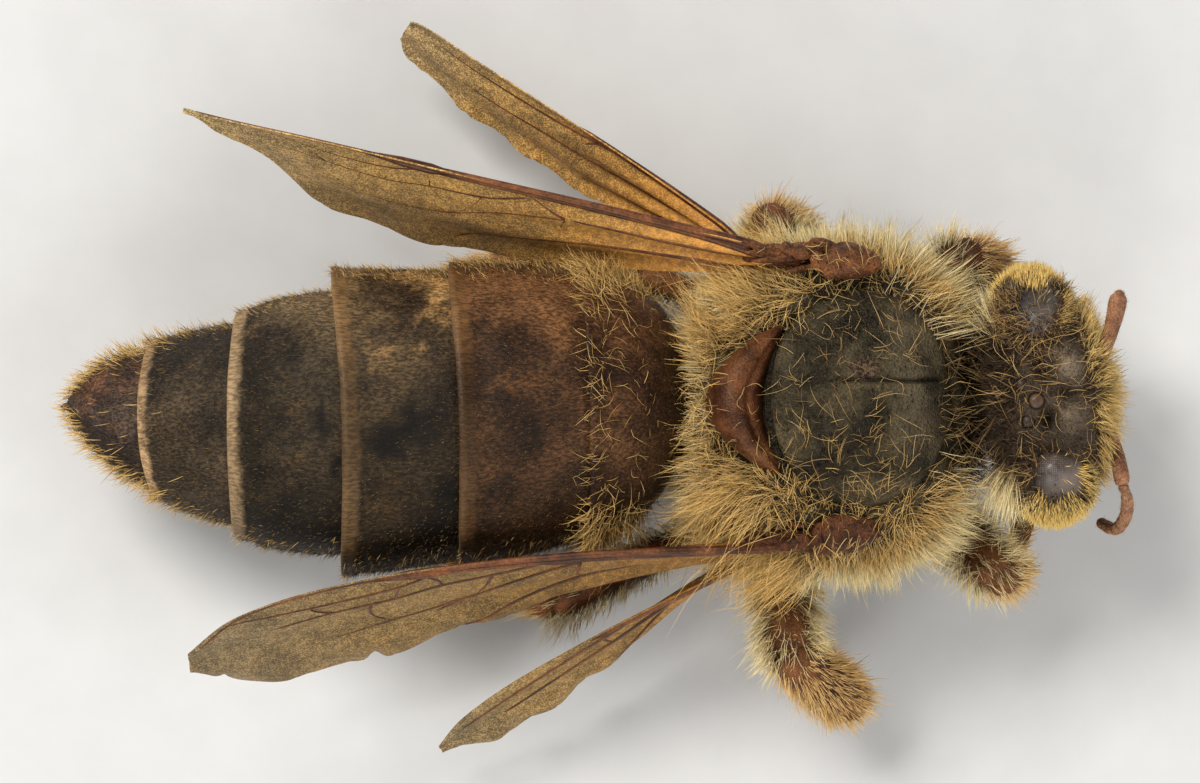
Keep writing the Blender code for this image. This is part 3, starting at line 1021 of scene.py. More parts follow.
@dataclass(frozen=True)
class Strand(Finish):
    """Hair: darker at the root, paler at the tip, each one a little different."""

    root: Colour = (0.2, 0.12, 0.05)
    tip: Colour = (0.62, 0.46, 0.22)
    tinge: Colour = (0.75, 0.62, 0.40)
    share: float = 0.5
    rough: float = 0.5

    def paint(self, graph: Graph, shader: bpy.types.Node) -> None:
        """Places the shared strand group with this hair's colours.

        Args:
            graph: The material's graph.
            shader: The material's main shader.
        """
        group = graph.tree.nodes.new("ShaderNodeGroup")
        group.node_tree = Groups.strand()
        for key, value in (("Root", self.root), ("Tip", self.tip), ("Tinge", self.tinge)):
            group.inputs[key].default_value = (*value, 1.0)
        group.inputs["Share"].default_value = self.share
        graph.tree.links.new(group.outputs[0], shader.inputs["Base Color"])
        shader.inputs["Roughness"].default_value = self.rough
        shader.inputs["Specular IOR Level"].default_value = 0.28


@dataclass(frozen=True)
class PaleFloor(Finish):
    """A plain pale floor with the faintest grain."""

    colour: Colour = (0.56, 0.553, 0.54)

    def paint(self, graph: Graph, shader: bpy.types.Node) -> None:
        """Varies the colour a very little.

        Args:
            graph: The material's graph.
            shader: The material's main shader.
        """
        place = graph.object_place()
        grain = graph.rise(graph.noise(place, 900.0, 4.0), 0.3, 0.7, 0.98, 1.02)
        colour = graph.scaled(self.colour, grain)
        graph.tree.links.new(colour, shader.inputs["Base Color"])
        shader.inputs["Roughness"].default_value = 0.9
        shader.inputs["Specular IOR Level"].default_value = 0.2


# ---------------------------------------------------------------- the coat
@dataclass
class Roots:
    """Where hairs are rooted: their places, the skin's normals and their places on its unwrap."""

    points: Array
    normals: Array
    unwrap: Array

    @classmethod
    def gather(cls, parts: Sequence["Roots"]) -> "Roots":
        """The roots of several skins as one."""
        return cls(
            *(np.concatenate([getattr(r, key) for r in parts]) for key in ("points", "normals", "unwrap"))
        )

    def pick(self, chosen: Array) -> "Roots":
        """Only some of them."""
        return Roots(self.points[chosen], self.normals[chosen], self.unwrap[chosen])


@dataclass(frozen=True)
class Hair:
    """One kind of hair: its size, how it stands, and how it bends."""

    length: float
    width: float
    lift: float = 0.4
    scatter: float = 0.18
    curl: float = 0.10
    droop: float = 0.0
    vary: float = 0.3
    steps: int = 3
    clump: float = 0.0
    clumps: int = 400


def round_unwrap(centre: Array) -> Callable[[Array], Array]:
    """An unwrap of a rounded skin by longitude and latitude round its own long axis."""

    def unwrap(places: Array) -> Array:
        """Longitude and latitude as shares of one.

        Args:
            places: Points, one a row.

        Returns:
            The two shares of each point.
        """
        away = unit(places - centre)
        longitude = np.arctan2(away[:, 2], away[:, 1]) / (2 * math.pi) + 0.5
        latitude = np.arccos(np.clip(away[:, 0], -1, 1)) / math.pi
        return np.stack((longitude, latitude), 1) * 0.99

    return unwrap


def sow(
    piece: Piece,
    density: float,
    share: Callable[[Array, Array], Array],
    unwrap: Callable[[Array], Array],
    rng: np.random.Generator,
) -> Roots:
    """Scatters roots over a skin, before it is carried to its place.

    Args:
        piece: The skin.
        density: Roots on a square millimetre where the share is one.
        share: How much of the density each place and normal gets.
        unwrap: Where a place lies on the skin's unwrap.
        rng: The source of chance.

    Returns:
        The roots.
    """
    mesh = piece.data
    mesh.calc_loop_triangles()
    corners = np.empty(len(mesh.loop_triangles) * 3, np.int32)
    mesh.loop_triangles.foreach_get("vertices", corners)
    corners = corners.reshape(-1, 3)
    places, normals = points_of(piece)[corners], normals_of(piece)[corners]
    area = np.linalg.norm(np.cross(places[:, 1] - places[:, 0], places[:, 2] - places[:, 0]), axis=1) / 2
    weight = area * np.clip(share(places.mean(1), unit(normals.mean(1))), 0, 1)
    count = int(weight.sum() * density)
    chosen = rng.choice(len(corners), count, p=weight / weight.sum())
    mix = rng.dirichlet((1.0, 1.0, 1.0), count)
    spots = np.einsum("nk,nkd->nd", mix, places[chosen])
    out = unit(np.einsum("nk,nkd->nd", mix, normals[chosen]))
    return Roots(spots, out, unwrap(spots))


def grow(
    name: str,
    roots: Roots,
    hair: Hair,
    lie: Array,
    finish: Finish,
    rng: np.random.Generator,
    scale: Optional[Array] = None,
) -> Piece:
    """Grows one coat piece: a closed, tapered, bent strand on each root, joined in one mesh.

    Args:
        name: What the piece is called.
        roots: Where the hairs stand.
        hair: What they are like.
        lie: The way each one leans.
        finish: Its material.
        rng: The source of chance.
        scale: How long each is, as a share of the kind's length.

    Returns:
        The coat piece, in its place.
    """
    count, steps = len(roots.points), hair.steps
    flat = lie - roots.normals * np.sum(lie * roots.normals, axis=1, keepdims=True)
    flat = unit(flat + rng.normal(0, 1e-3, flat.shape))
    lift = np.clip(hair.lift + rng.normal(0, 0.10, (count, 1)), 0.05, 1.0)
    start = unit(roots.normals * lift + flat * (1 - lift) + rng.normal(0, hair.scatter, (count, 3)))
    inward = np.minimum(np.sum(start * roots.normals, axis=1, keepdims=True) - 0.10, 0)
    start = unit(start - roots.normals * inward)
    length = hair.length * np.clip(1 + rng.normal(0, hair.vary, count), 0.35, 1.7)
    if scale is not None:
        length = length * scale
    length = length[:, None, None]
    t = (np.arange(steps + 1) / steps)[None, :, None]
    side = unit(np.cross(start, rng.normal(0, 1, (count, 3))))
    other = np.cross(start, side)
    bend = flat * hair.droop + side * rng.normal(0, hair.curl, (count, 1))
    wave = (
        other[:, None]
        * (np.sin(t * rng.uniform(2.0, 5.0, (count, 1, 1))) * rng.normal(0, hair.curl * 0.6, (count, 1, 1)))
    )
    base = (roots.points - roots.normals * ROOT_DEPTH)[:, None]
    path = base + length * (start[:, None] * t + bend[:, None] * t**2 + wave * t)
    if hair.clump > 0:
        leaders = rng.choice(count, min(hair.clumps, count), replace=False)
        tree = KDTree(len(leaders))
        for k, leader in enumerate(leaders):
            tree.insert(roots.points[leader], k)
        tree.balance()
        nearest = leaders[[tree.find(p)[1] for p in roots.points]]
        apart = roots.points - roots.points[nearest]
        drawn = hair.clump * np.exp(-np.sum(apart**2, axis=1) / CLUMP_REACH**2)[:, None, None]
        path += drawn * t**1.2 * (path[nearest] + apart[:, None] * 0.25 - path)
    shape = hair.width / 2 * (1 - 0.72 * (np.arange(steps) / steps) ** 1.4)
    thick = rng.uniform(0.75, 1.25, (count, 1, 1, 1))
    turns = np.arange(3) * (2 * math.pi / 3)
    offset = side[:, None] * np.cos(turns)[None, :, None] + other[:, None] * np.sin(turns)[None, :, None]
    tubes = path[:, :steps, None] + offset[:, None] * shape[None, :, None, None] * thick
    places = np.concatenate((tubes.reshape(count, steps * 3, 3), path[:, steps:]), axis=1)
    places[:, :, 2] = np.maximum(places[:, :, 2], LOWEST)
    each = steps * 3 + 1
    faces = [(0, 2, 1)]
    for k in range(steps - 1):
        for a in range(3):
            b = (a + 1) % 3
            low, high = 3 * k, 3 * k + 3
            faces += [(low + a, low + b, high + b), (low + a, high + b, high + a)]
    last = 3 * (steps - 1)
    faces += [(last + a, last + (a + 1) % 3, each - 1) for a in range(3)]
    corners = (np.array(faces)[None] + (np.arange(count) * each)[:, None, None]).reshape(-1, 3)
    mesh = bpy.data.meshes.new(name)
    mesh.vertices.add(count * each)
    mesh.vertices.foreach_set("co", ((places + SHIFT) * MM).astype(np.float32).ravel())
    mesh.loops.add(corners.size)
    mesh.loops.foreach_set("vertex_index", corners.astype(np.int32).ravel())
    mesh.polygons.add(len(corners))
    mesh.polygons.foreach_set("loop_start", np.arange(0, corners.size, 3, dtype=np.int32))
    mesh.update(calc_edges=True)
    along = np.r_[np.repeat(np.arange(steps) / steps, 3), 1.0]
    around = np.r_[np.tile((0.0, 0.5, 1.0), steps), 0.5]
    u = np.clip(roots.unwrap[:, :1], 0, 1 - PATCH) + PATCH * along[None]
    v = np.clip(roots.unwrap[:, 1:], 0, 1 - PATCH) + PATCH * around[None]
    spread = np.stack((u, v), -1).reshape(-1, 2)[corners.ravel()]
    layer = mesh.uv_layers.new(name="OFBake")
    layer.data.foreach_set("uv", spread.astype(np.float32).ravel())
    piece = bpy.data.objects.new(name, mesh)
    bpy.context.scene.collection.objects.link(piece)
    mark(piece, "along", np.tile(along, count))
    mark(piece, "tint", np.repeat(rng.uniform(0, 1, count), each))
    mesh.shade_smooth()
    mesh.materials.append(finish.material())
    tell_frame(piece)
    return piece


SHIFT = bee_shift()


# ---------------------------------------------------------------- finishes of this bee
THORAX_SHELL = Shell(
    "dark_cuticle_thorax", dark=(0.009, 0.0075, 0.0045), light=(0.076, 0.058, 0.030), patch=(
        0.058, 0.034, 0.014
    ),
    patch_share=0.3, mottle=1300.0, cells=27000.0, pits=9000.0, pit_depth=1.0, depth=3.2e-5, rough=(
        0.40, 0.56
    ),
    shine=0.13, groove=True, painted_light=(0.150, 0.120, 0.076),
)
HEAD_SHELL = Shell(
    "dark_cuticle_head", dark=(0.010, 0.007, 0.0045), light=(0.068, 0.048, 0.032), patch=(
        0.058, 0.029, 0.014
    ),
    patch_share=0.3, mottle=1900.0, cells=30000.0, pits=8000.0, depth=2.2e-5, rough=(
        0.42, 0.6
    ), shine=0.13, groove=True,
)
RUST_SHELL = Shell(
    "brown_cuticle_shield", dark=(0.035, 0.010, 0.004), light=(0.125, 0.042, 0.014), patch=(
        0.16, 0.065, 0.024
    ),
    patch_share=0.25, mottle=1900.0, cells=32000.0, pits=11000.0, pit_depth=0.6, depth=1.1e-5, rough=(
        0.40, 0.58
    ), shine=0.26,
)
TEGULA_SHELL = Shell(
    "brown_cuticle_tegula", dark=(0.040, 0.011, 0.005), light=(0.17, 0.062, 0.020), patch=(0.24, 0.11, 0.040),
    patch_share=0.35, mottle=3500.0, cells=30000.0, pits=11000.0, pit_depth=1.2, depth=3.0e-5, rough=(
        0.45, 0.62
    ), shine=0.26,
)
# A darker copy of the wing cover's shell for the right side: painted shade.
TEGULA_PAINTED_SHADE_SHELL = Shell(
    "brown_cuticle_tegula_dim", dark=(0.024, 0.006, 0.003), light=(0.095, 0.030, 0.011), patch=(
        0.15, 0.062, 0.022
    ),
    patch_share=0.35, mottle=3500.0, cells=30000.0, pits=11000.0, pit_depth=1.2, depth=3.0e-5, rough=(
        0.45, 0.62
    ), shine=0.24,
)
LEG_SHELL = Shell(
    "leg_cuticle_rust", dark=(0.040, 0.013, 0.006), light=(0.18, 0.070, 0.027), patch=(0.26, 0.120, 0.046),
    patch_share=0.2, mottle=1400.0, cells=36000.0, pits=12000.0, depth=1.2e-5, rough=(
        0.46, 0.64
    ), shine=0.16, glow=0.04,
)
# A lighter copy of the leg's shell for the hind legs: painted light that makes up for the wing's shadow over
# them.
HIND_LEG_PAINTED_LIGHT_SHELL = Shell(
    "leg_cuticle_hind", dark=(0.060, 0.018, 0.007), light=(0.27, 0.098, 0.032), patch=(0.36, 0.16, 0.055),
    patch_share=0.2, mottle=1400.0, cells=36000.0, pits=12000.0, depth=1.2e-5, rough=(
        0.40, 0.58
    ), shine=0.25, glow=0.04,
)
CLAW_SHELL = Shell(
    "dark_cuticle_claw", dark=(0.02, 0.009, 0.005), light=(0.12, 0.05, 0.02), mottle=4000.0, depth=3e-6,
    rough=(0.25, 0.35), coat=0.2,
)
FEELER_SHELL = Shell(
    "antenna_rose", dark=(0.17, 0.070, 0.037), light=(0.44, 0.215, 0.118), patch=(
        0.09, 0.035, 0.018
    ), patch_share=0.2,
    mottle=2600.0, cells=40000.0, pits=20000.0, pit_depth=0.5, depth=1.2e-5, rough=(
        0.5, 0.66
    ), shine=0.26, glow=0.04,
)
MOUTH_SHELL = Shell(
    "brown_cuticle_mouth", dark=(0.05, 0.018, 0.008), light=(0.18, 0.07, 0.025), mottle=2200.0, depth=5e-6,
    rough=(0.3, 0.46), shine=0.35, coat=0.1,
)
VEIN_SHELL = Shell(
    "dark_cuticle_vein", dark=(0.040, 0.011, 0.005), light=(0.17, 0.055, 0.018), mottle=1600.0, cells=24000.0,
    pits=9000.0, depth=5e-6, rough=(0.36, 0.52), shine=0.35,
)

CREAM = Strand(
    "golden_coat_cream", root=(0.22, 0.135, 0.05), tip=(0.91, 0.72, 0.335), tinge=(0.93, 0.80, 0.50)
)
GOLD = Strand("golden_coat_gold", root=(0.13, 0.065, 0.018), tip=(0.76, 0.46, 0.13), tinge=(0.86, 0.62, 0.26))
AMBER = Strand(
    "golden_coat_amber", root=(0.52, 0.275, 0.070), tip=(0.92, 0.62, 0.165), tinge=(0.94, 0.72, 0.28)
)
BRONZE = Strand(
    "golden_coat_bronze", root=(0.05, 0.024, 0.008), tip=(0.44, 0.25, 0.085), tinge=(0.76, 0.50, 0.19)
)
VELVET = Strand(
    "golden_coat_velvet", root=(0.028, 0.015, 0.005), tip=(0.18, 0.105, 0.036), tinge=(0.42, 0.265, 0.095)
)
UMBER = Strand(
    "golden_coat_umber", root=(0.028, 0.015, 0.006), tip=(0.20, 0.115, 0.042), tinge=(0.50, 0.32, 0.12)
)
FACE_DOWN = Strand(
    "golden_coat_face", root=(0.14, 0.07, 0.02), tip=(0.86, 0.57, 0.18), tinge=(0.92, 0.72, 0.31)
)
DUSK = Strand(
    "golden_coat_dusk", root=(0.009, 0.0055, 0.003), tip=(0.042, 0.025, 0.012), tinge=(0.12, 0.070, 0.034)
)
RUSSET = Strand(
    "golden_coat_russet", root=(0.44, 0.225, 0.082), tip=(0.89, 0.545, 0.178), tinge=(0.90, 0.64, 0.26)
)


# ---------------------------------------------------------------- thorax
@dataclass
class Thorax:
    """The trunk: one bare skin with its grooves, the shield behind it, the wing covers and a coat."""

    middle_y: float = -0.22
    sides: int = 56
    stations: tuple = (
        (1.58, 0.40, 3.40, 2.70), (1.66, 1.00, 3.90, 2.30), (1.88, 1.66, 4.40, 2.02), (
            2.40, 2.14, 5.00, 1.80
        ), (2.70, 2.26, 5.14, 1.73),
        (3.05, 2.36, 5.26, 1.66), (3.80, 2.42, 5.34, 1.62), (4.45, 2.36, 5.28, 1.66), (
            4.98, 2.06, 5.02, 1.82
        ),
        (5.32, 1.60, 4.60, 2.06), (5.50, 1.06, 4.14, 2.38), (5.62, 0.60, 3.82, 2.72), (
            5.86, 0.44, 3.66, 2.84
        ),
        (6.22, 0.40, 3.60, 2.86),
    )
    scutellum_centre: tuple = (2.06, -0.13, 4.62)
    scutellum_radii: tuple = (0.45, 1.16, 0.56)
    tegula_places: tuple = ((3.80, 1.99, 4.84), (3.80, -2.13, 4.84))
    tegula_radii: tuple = (0.47, 0.33, 0.20)
    tegula_tilt: float = 42.0

    def skin(self) -> Piece:
        """The trunk's skin from the waist to the neck, with its grooves cut by sculpting, painted shade
        marked in them and a painted sheen marked on the back's disc.

        Returns:
            The skin.
        """
        rings = []
        across, up = np.array((0.0, 1.0, 0.0)), np.array((0.0, 0.0, 1.0))
        for x, half, top, bottom in self.stations:
            middle = bottom + (top - bottom) * 0.52
            centre = np.array((x, self.middle_y if x < 5.4 else -0.14, middle))
            rings.append(ring(centre, across, up, half, top - middle, middle - bottom, self.sides, 2.12))
        piece = loft("thorax_skin", rings)
        refine(piece, 3)
        places, out = points_of(piece), normals_of(piece)
        x, y, z = places.T
        top = step(0.25, 0.6, out[:, 2])
        line = 0.19 + 0.012 * np.sin(x * 5.0)
        groove = bell(y, line, 0.030) * step(3.5, 3.75, x) * (1 - step(5.1, 5.3, x)) * top
        arc = 2.50 + 0.25 * (y + 0.05) ** 2
        wide = 1 - step(1.15, 1.45, np.abs(y + 0.05))
        seam = bell(x, arc, 0.06) * wide * step(0.0, 0.4, out[:, 2])
        shelf = step(-0.05, 0.04, arc - x) * wide * step(0.0, 0.4, out[:, 2]) * (x > 1.8)
        edge = np.hypot((x - 3.95) / 1.42, (y + 0.08) / 1.68)
        rim = bell(edge, 1.02, 0.035) * step(0.1, 0.5, out[:, 2]) * (x > 2.8)
        flank = bell(x - 4.55 + 0.25 * (z - 3.4), 0.0, 0.07) * step(0.55, 0.8, np.abs(out[:, 1]))
        crust = bell(x, 4.02, 0.24) * bell(y, 0.36, 0.22) * top
        pair = bell(np.abs(y - 0.15), 0.62, 0.05) * step(3.9, 4.2, x) * (1 - step(4.9, 5.1, x)) * top
        drop = 0.085 * groove + 0.12 * seam + 0.24 * shelf + 0.07 * rim + 0.08 * flank + 0.012 * pair
        places -= out * drop[:, None]
        places += (
            out * (crust * 0.030 * ripple(places, 6.0, 3) + 0.014 * top * ripple(places, 0.9, 5))[:, None]
        )
        put_points(piece, places)
        # Painted shade: dim darkens the disc's right half and its left rear, and the groove mark lays near
        # black into the grooves, the seam, the disc's rim and the shelf.
        dim = (
            0.50 * bell(x, 3.75, 0.75) * bell(y, -0.90, 0.55) * top
            + 0.25 * bell(x, 3.3, 0.5) * bell(y, 0.9, 0.5) * top
        )
        mark(piece, "groove", np.clip(groove * 1.3 + seam * 1.2 + 0.55 * rim + 0.7 * shelf + dim, 0, 1))
        mark(piece, "crust", np.clip(step(0.22, 0.8, crust), 0, 1))
        # Painted sheen on the front of the back's disc, kept out of the grooves.
        sheen = (
            0.75 * bell(x, 4.85, 0.34) * bell(y, -0.45, 0.55)
            + 0.45 * bell(x, 4.60, 0.32) * bell(y, 0.80, 0.45)
        )
        mark(piece, "painted_light", np.clip(sheen, 0, 1) * top * (1 - groove))
        return piece

    def scutellum(self) -> Piece:
        """The shield behind the trunk: a crescent dome, its horns bent forward round the back's disc.

        Returns:
            The finished piece.
        """
        piece = ball("scutellum_shield", np.zeros(3), np.array(self.scutellum_radii), detail=26)
        places = points_of(piece)
        x, y, z = places.T
        bend = (y / 1.16) ** 2
        places[:, 0] = x * (1 - 0.30 * bend) + 0.72 * bend
        places[:, 2] = z + 0.16 * bend - 0.10 * step(0.0, 0.45, x)
        places += np.array(self.scutellum_centre)
        put_points(piece, places)
        refine(piece, 1)
        places, out = points_of(piece), normals_of(piece)
        crease = (
            bell(places[:, 0] - 2.26 - 0.50 * (places[:, 1] + 0.13) ** 2, 0.0, 0.05)
            * step(0.0, 0.5, out[:, 2])
        )
        places += out * (0.014 * ripple(places, 1.6, 11) - 0.035 * crease)[:, None]
        put_points(piece, places)
        return piece

    def tegula(self, side: Side) -> Piece:
        """One wing cover: a bean-shaped scale with a raised rim.

        Args:
            side: Which side it is on.

        Returns:
            The finished piece.
        """
        place = np.array(self.tegula_places[0 if side is Side.LEFT else 1])
        turn = Matrix.Rotation(math.radians(-side.value * self.tegula_tilt), 4, "X")
        piece = ball(f"tegula_cover_{side.word}", np.zeros(3), np.array(self.tegula_radii), detail=18)
        places = points_of(piece)
        x, y, z = places.T
        places[:, 1] -= side.value * 0.10 * (x / 0.48) ** 2
        places[:, 1] *= 1 - 0.25 * (x / 0.48)
        ring_at = np.hypot(x / 0.47, y / 0.33)
        places[:, 2] += (0.016 * bell(ring_at, 0.88, 0.10) - 0.020 * bell(ring_at, 0.68, 0.12)) * (z > 0)
        put_points(piece, places)
        refine(piece, 1)
        places, out = points_of(piece), normals_of(piece)
        put_points(
            piece,
            places + out * (0.014 * ripple(places, 3.0, 15) + 0.004 * ripple(places, 8.0, 16))[:, None],
        )
        piece.data.transform(Matrix.Translation(Vector(place)) @ turn)
        return piece

    def hinge(self, side: Side) -> Piece:
        """The small hard plates at the roots of the wings, and the skin between them.

        Args:
            side: Which side it is on.

        Returns:
            The finished piece.
        """
        base = np.array(self.tegula_places[0 if side is Side.LEFT else 1])
        s = side.value
        spots = (
            ((-0.50, 0.02 * s, -0.06), (0.12, 0.25, 0.09), 16), (
                (-0.74, 0.12 * s, -0.02), (0.15, 0.13, 0.10), -12
            ),
            ((-0.95, 0.18 * s, -0.05), (0.09, 0.15, 0.07), 28), (
                (-0.74, -0.12 * s, -0.12), (0.26, 0.045, 0.06), 12
            ),
            ((-1.20, 0.20 * s, -0.05), (0.44, 0.042, 0.06), -5), (
                (-1.22, 0.11 * s, -0.10), (0.46, 0.036, 0.05), -3
            ),
            ((-1.12, 0.01 * s, -0.16), (0.40, 0.036, 0.05), 2), (
                (-0.90, 0.06 * s, -0.30), (0.50, 0.16, 0.10), 2
            ),
            ((-0.36, 0.20 * s, -0.24), (0.28, 0.12, 0.14), -20), (
                (-1.28, 0.12 * s, -0.44), (0.36, 0.10, 0.16), 14
            ),
            ((-0.80, 0.16 * s, -0.34), (0.52, 0.11, 0.16), 4),
        )
        parts = []
        for k, (offset, radii, turn) in enumerate(spots):
            spin = (
                Matrix.Rotation(math.radians(turn * s), 4, "Z")
                @ Matrix.Rotation(math.radians(-s * 35), 4, "X")
            )
            parts.append(ball(f"plate_{k}", base + np.array(offset), np.array(radii), spin, detail=10))
        piece = join(f"wing_hinge_{side.word}", parts)
        apply(piece, "REMESH", mode="VOXEL", voxel_size=0.020)
        apply(piece, "SMOOTH", factor=0.5, iterations=1)
        places, out = points_of(piece), normals_of(piece)
        crest = 0.008 * ripple(places, 3.0, 20) + 0.005 * ripple(places, 8.0, 21)
        put_points(piece, places + out * crest[:, None])
        return piece

    def lie_of(self, places: Array, out: Array, rng: np.random.Generator) -> Array:
        """The way the coat leans: out and down at the sides, back behind, forward in front, at random above.

        Args:
            places: Points, one a row.
            out: The skin's normals there.
            rng: The source of chance.

        Returns:
            The leaning direction of each point.
        """
        away = places - np.array((3.6, self.middle_y, 3.6))
        lie = np.stack((0.35 * away[:, 0], 0.4 * away[:, 1], -0.5 + 0 * away[:, 2]), 1)
        lie[:, 0] += np.where(places[:, 0] < 2.5, -1.2, 0) + 1.1 * step(4.6, 5.1, places[:, 0])
        above = step(0.55, 0.85, out[:, 2])[:, None]
        free = rng.normal(0, 1, lie.shape) + np.array((-0.3, 0.0, 0.0))
        free[:, 1] -= 0.7 * np.sign(places[:, 1] + 0.08) * step(0.7, 1.4, np.abs(places[:, 1] + 0.08))
        return lie * (1 - above) + free * above

    def coat(self, skin: Piece, rng: np.random.Generator) -> None:
        """Grows the trunk's coat: deep locks on the flanks, thin curled down on top, long hair behind.

        Args:
            skin: The skin that the coat grows on.
            rng: The source of chance.
        """
        unwrap = round_unwrap(np.array((3.6, self.middle_y, 3.5)))

        def disc(places: Array) -> Array:
            """How far a place lies from the middle of the back, one being its edge."""
            return np.hypot((places[:, 0] - 3.95) / 1.44, (places[:, 1] + 0.08) / 1.72)

        def shield(places: Array) -> Array:
            """One where the shield and the seam before it lie, which carry no coat.

            Args:
                places: Points, one a row.

            Returns:
                One there and zero elsewhere.
            """
            y = places[:, 1] + 0.13
            bent = places[:, 0] - 0.52 * y**2
            plate = np.hypot((bent - 2.08) / 0.42, y / 1.12) < 1
            gap = (np.abs(places[:, 0] - 2.58 - 0.25 * y**2) < 0.20) & (np.abs(y) < 1.25)
            return ((plate | gap) & (places[:, 2] > 3.9)).astype(float)

        def flank(places: Array, out: Array) -> Array:
            """Full at the sides, none on the back's disc, in the neck or waist, and little in front.

            Args:
                places: Points, one a row.
                out: The skin's normals there.

            Returns:
                How thick the hair stands at each point.
            """
            around = np.maximum(step(0.97, 1.12, disc(places)), 1 - step(0.05, 0.45, out[:, 2]))
            ends = step(1.56, 1.68, places[:, 0]) * (1 - step(5.35, 5.55, places[:, 0]))
            front = (
                1
                - 0.97 * step(4.80, 5.15, places[:, 0]) * (
                    1 - step(0.85, 1.35, np.abs(places[:, 1] + 0.1))
                ) * step(-0.4, 0.0, out[:, 2])
            )
            gap = 1 - 0.7 * step(4.95, 5.25, places[:, 0]) * (places[:, 1] < 0) * step(-0.5, 0.1, out[:, 2])
            cover = np.hypot((places[:, 0] - 3.30) / 1.15, (np.abs(places[:, 1] + 0.07) - 2.02) / 0.36)
            bare = 1 - 0.72 * (1 - step(0.75, 1.15, cover)) * step(4.35, 4.55, places[:, 2])
            return (
                around
                * ends
                * front
                * gap
                * bare
                * (1 - shield(places))
                * (1 - 0.35 * step(0.2, 0.8, -out[:, 2]))
            )

        def back(places: Array, out: Array) -> Array:
            """Thin on the back, thicker on its right half and near its edge.

            Args:
                places: Points, one a row.
                out: The skin's normals there.

            Returns:
                How thick the hair stands at each point.
            """
            inside = (disc(places) < 1.05) * (out[:, 2] > 0.15) * (1 - shield(places))
            right = 1 - step(-0.7, -0.1, places[:, 1])
            rim = step(0.62, 1.0, disc(places))
            front = 1 - 0.85 * step(4.55, 4.9, places[:, 0])
            groove = 1 - 0.8 * bell(places[:, 1], 0.15, 0.25) * (places[:, 0] > 3.6)
            return inside * np.clip(0.06 + 0.085 * right + 0.16 * rim, 0, 1) * front * groove

        def rear(places: Array, out: Array) -> Array:
            """The slope behind the shield, and its sides."""
            bow = places[:, 0] - 0.25 * (places[:, 1] + 0.05) ** 2
            return (bow < 2.1) * (out[:, 0] < 0.3) * (places[:, 2] > 2.7) * (1 - shield(places))

        def front(places: Array, out: Array) -> Array:
            """The slope in front of the back's disc, and the collar."""
            return step(4.95, 5.25, places[:, 0]) * (1 - step(5.5, 5.75, places[:, 0])) * (out[:, 2] > -0.3)

        deep = sow(skin, 615.0, flank, unwrap, rng)
        high = deep.normals[:, 2] > 0.42
        low = np.flatnonzero(~high)
        parts = np.array_split(low[np.argsort(deep.points[low, 0])], 4)
        for word, chosen in zip(("rear", "hip", "middle", "front", "top"), (*parts, np.flatnonzero(high))):
            roots = deep.pick(chosen)
            lie = self.lie_of(roots.points, roots.normals, rng)
            count = len(chosen)
            kind = Hair(
                0.53, 0.013, lift=0.56, scatter=0.12, curl=0.10, droop=0.08, vary=0.33, steps=3, clump=0.86,
                clumps=count // 17,
            )
            finish = CREAM
            if word == "top":
                finish = GOLD
                lie += rng.normal(0, 0.35, lie.shape)
                kind = Hair(
                    0.46, 0.012, lift=0.36, scatter=0.24, curl=0.30, droop=0.08, vary=0.35, steps=4,
                    clump=0.55, clumps=count // 8,
                )
            under = (
                (1 - 0.35 * step(0.3, 0.9, -roots.normals[:, 2]))
                * np.where(rng.random(count) < 0.12, 1.42, 1.0)
            )
            under *= 1 + 0.3 * step(4.7, 5.1, roots.points[:, 0]) * step(3.0, 3.6, roots.points[:, 2])
            under *= (
                1
                + 0.5 * (1 - step(1.95, 2.35, roots.points[:, 0])) * (
                    1 - step(-1.2, -0.7, roots.points[:, 1])
                )
            )
            grow(f"coat_flank_{word}", roots, kind, lie, finish, rng, under)
        down = sow(skin, 520.0, back, unwrap, rng)
        lie = self.lie_of(down.points, down.normals, rng)
        kind = Hair(
            0.40, 0.0092, lift=0.22, scatter=0.28, curl=0.46, droop=0.12, vary=0.35, steps=6, clump=0.5,
            clumps=len(lie) // 5,
        )
        brown = rng.random(len(lie)) < 0.42
        for word, chosen, finish in (("back", ~brown, GOLD), ("back_brown", brown, BRONZE)):
            grow(f"coat_{word}", down.pick(chosen), kind, lie[chosen], finish, rng)
        long_hair = sow(skin, 280.0, rear, unwrap, rng)
        spread = (long_hair.points - np.array((2.0, -0.1, 3.6))) * np.array((0, 0.55, 0.1))
        lie = np.array((-1.0, 0.0, 0.15)) + spread + rng.normal(0, 0.22, (len(long_hair.points), 3))
        kind = Hair(
            0.90, 0.013, lift=0.34, scatter=0.17, curl=0.24, droop=0.05, vary=0.3, steps=4, clump=0.6,
            clumps=len(lie) // 8,
        )
        longer = 1 + 0.25 * (1 - step(-1.2, -0.7, long_hair.points[:, 1]))
        grow("coat_behind_shield", long_hair, kind, lie, GOLD, rng, longer)
        collar = sow(skin, 38.0, front, unwrap, rng)
        lie = np.array((1.0, 0.0, 0.3)) + rng.normal(0, 0.32, (len(collar.points), 3))
        kind = Hair(
            0.42, 0.011, lift=0.34, scatter=0.20, curl=0.20, vary=0.35, steps=4, clump=0.35,
            clumps=len(lie) // 4,
        )
        grow("coat_collar", collar, kind, lie, UMBER, rng)
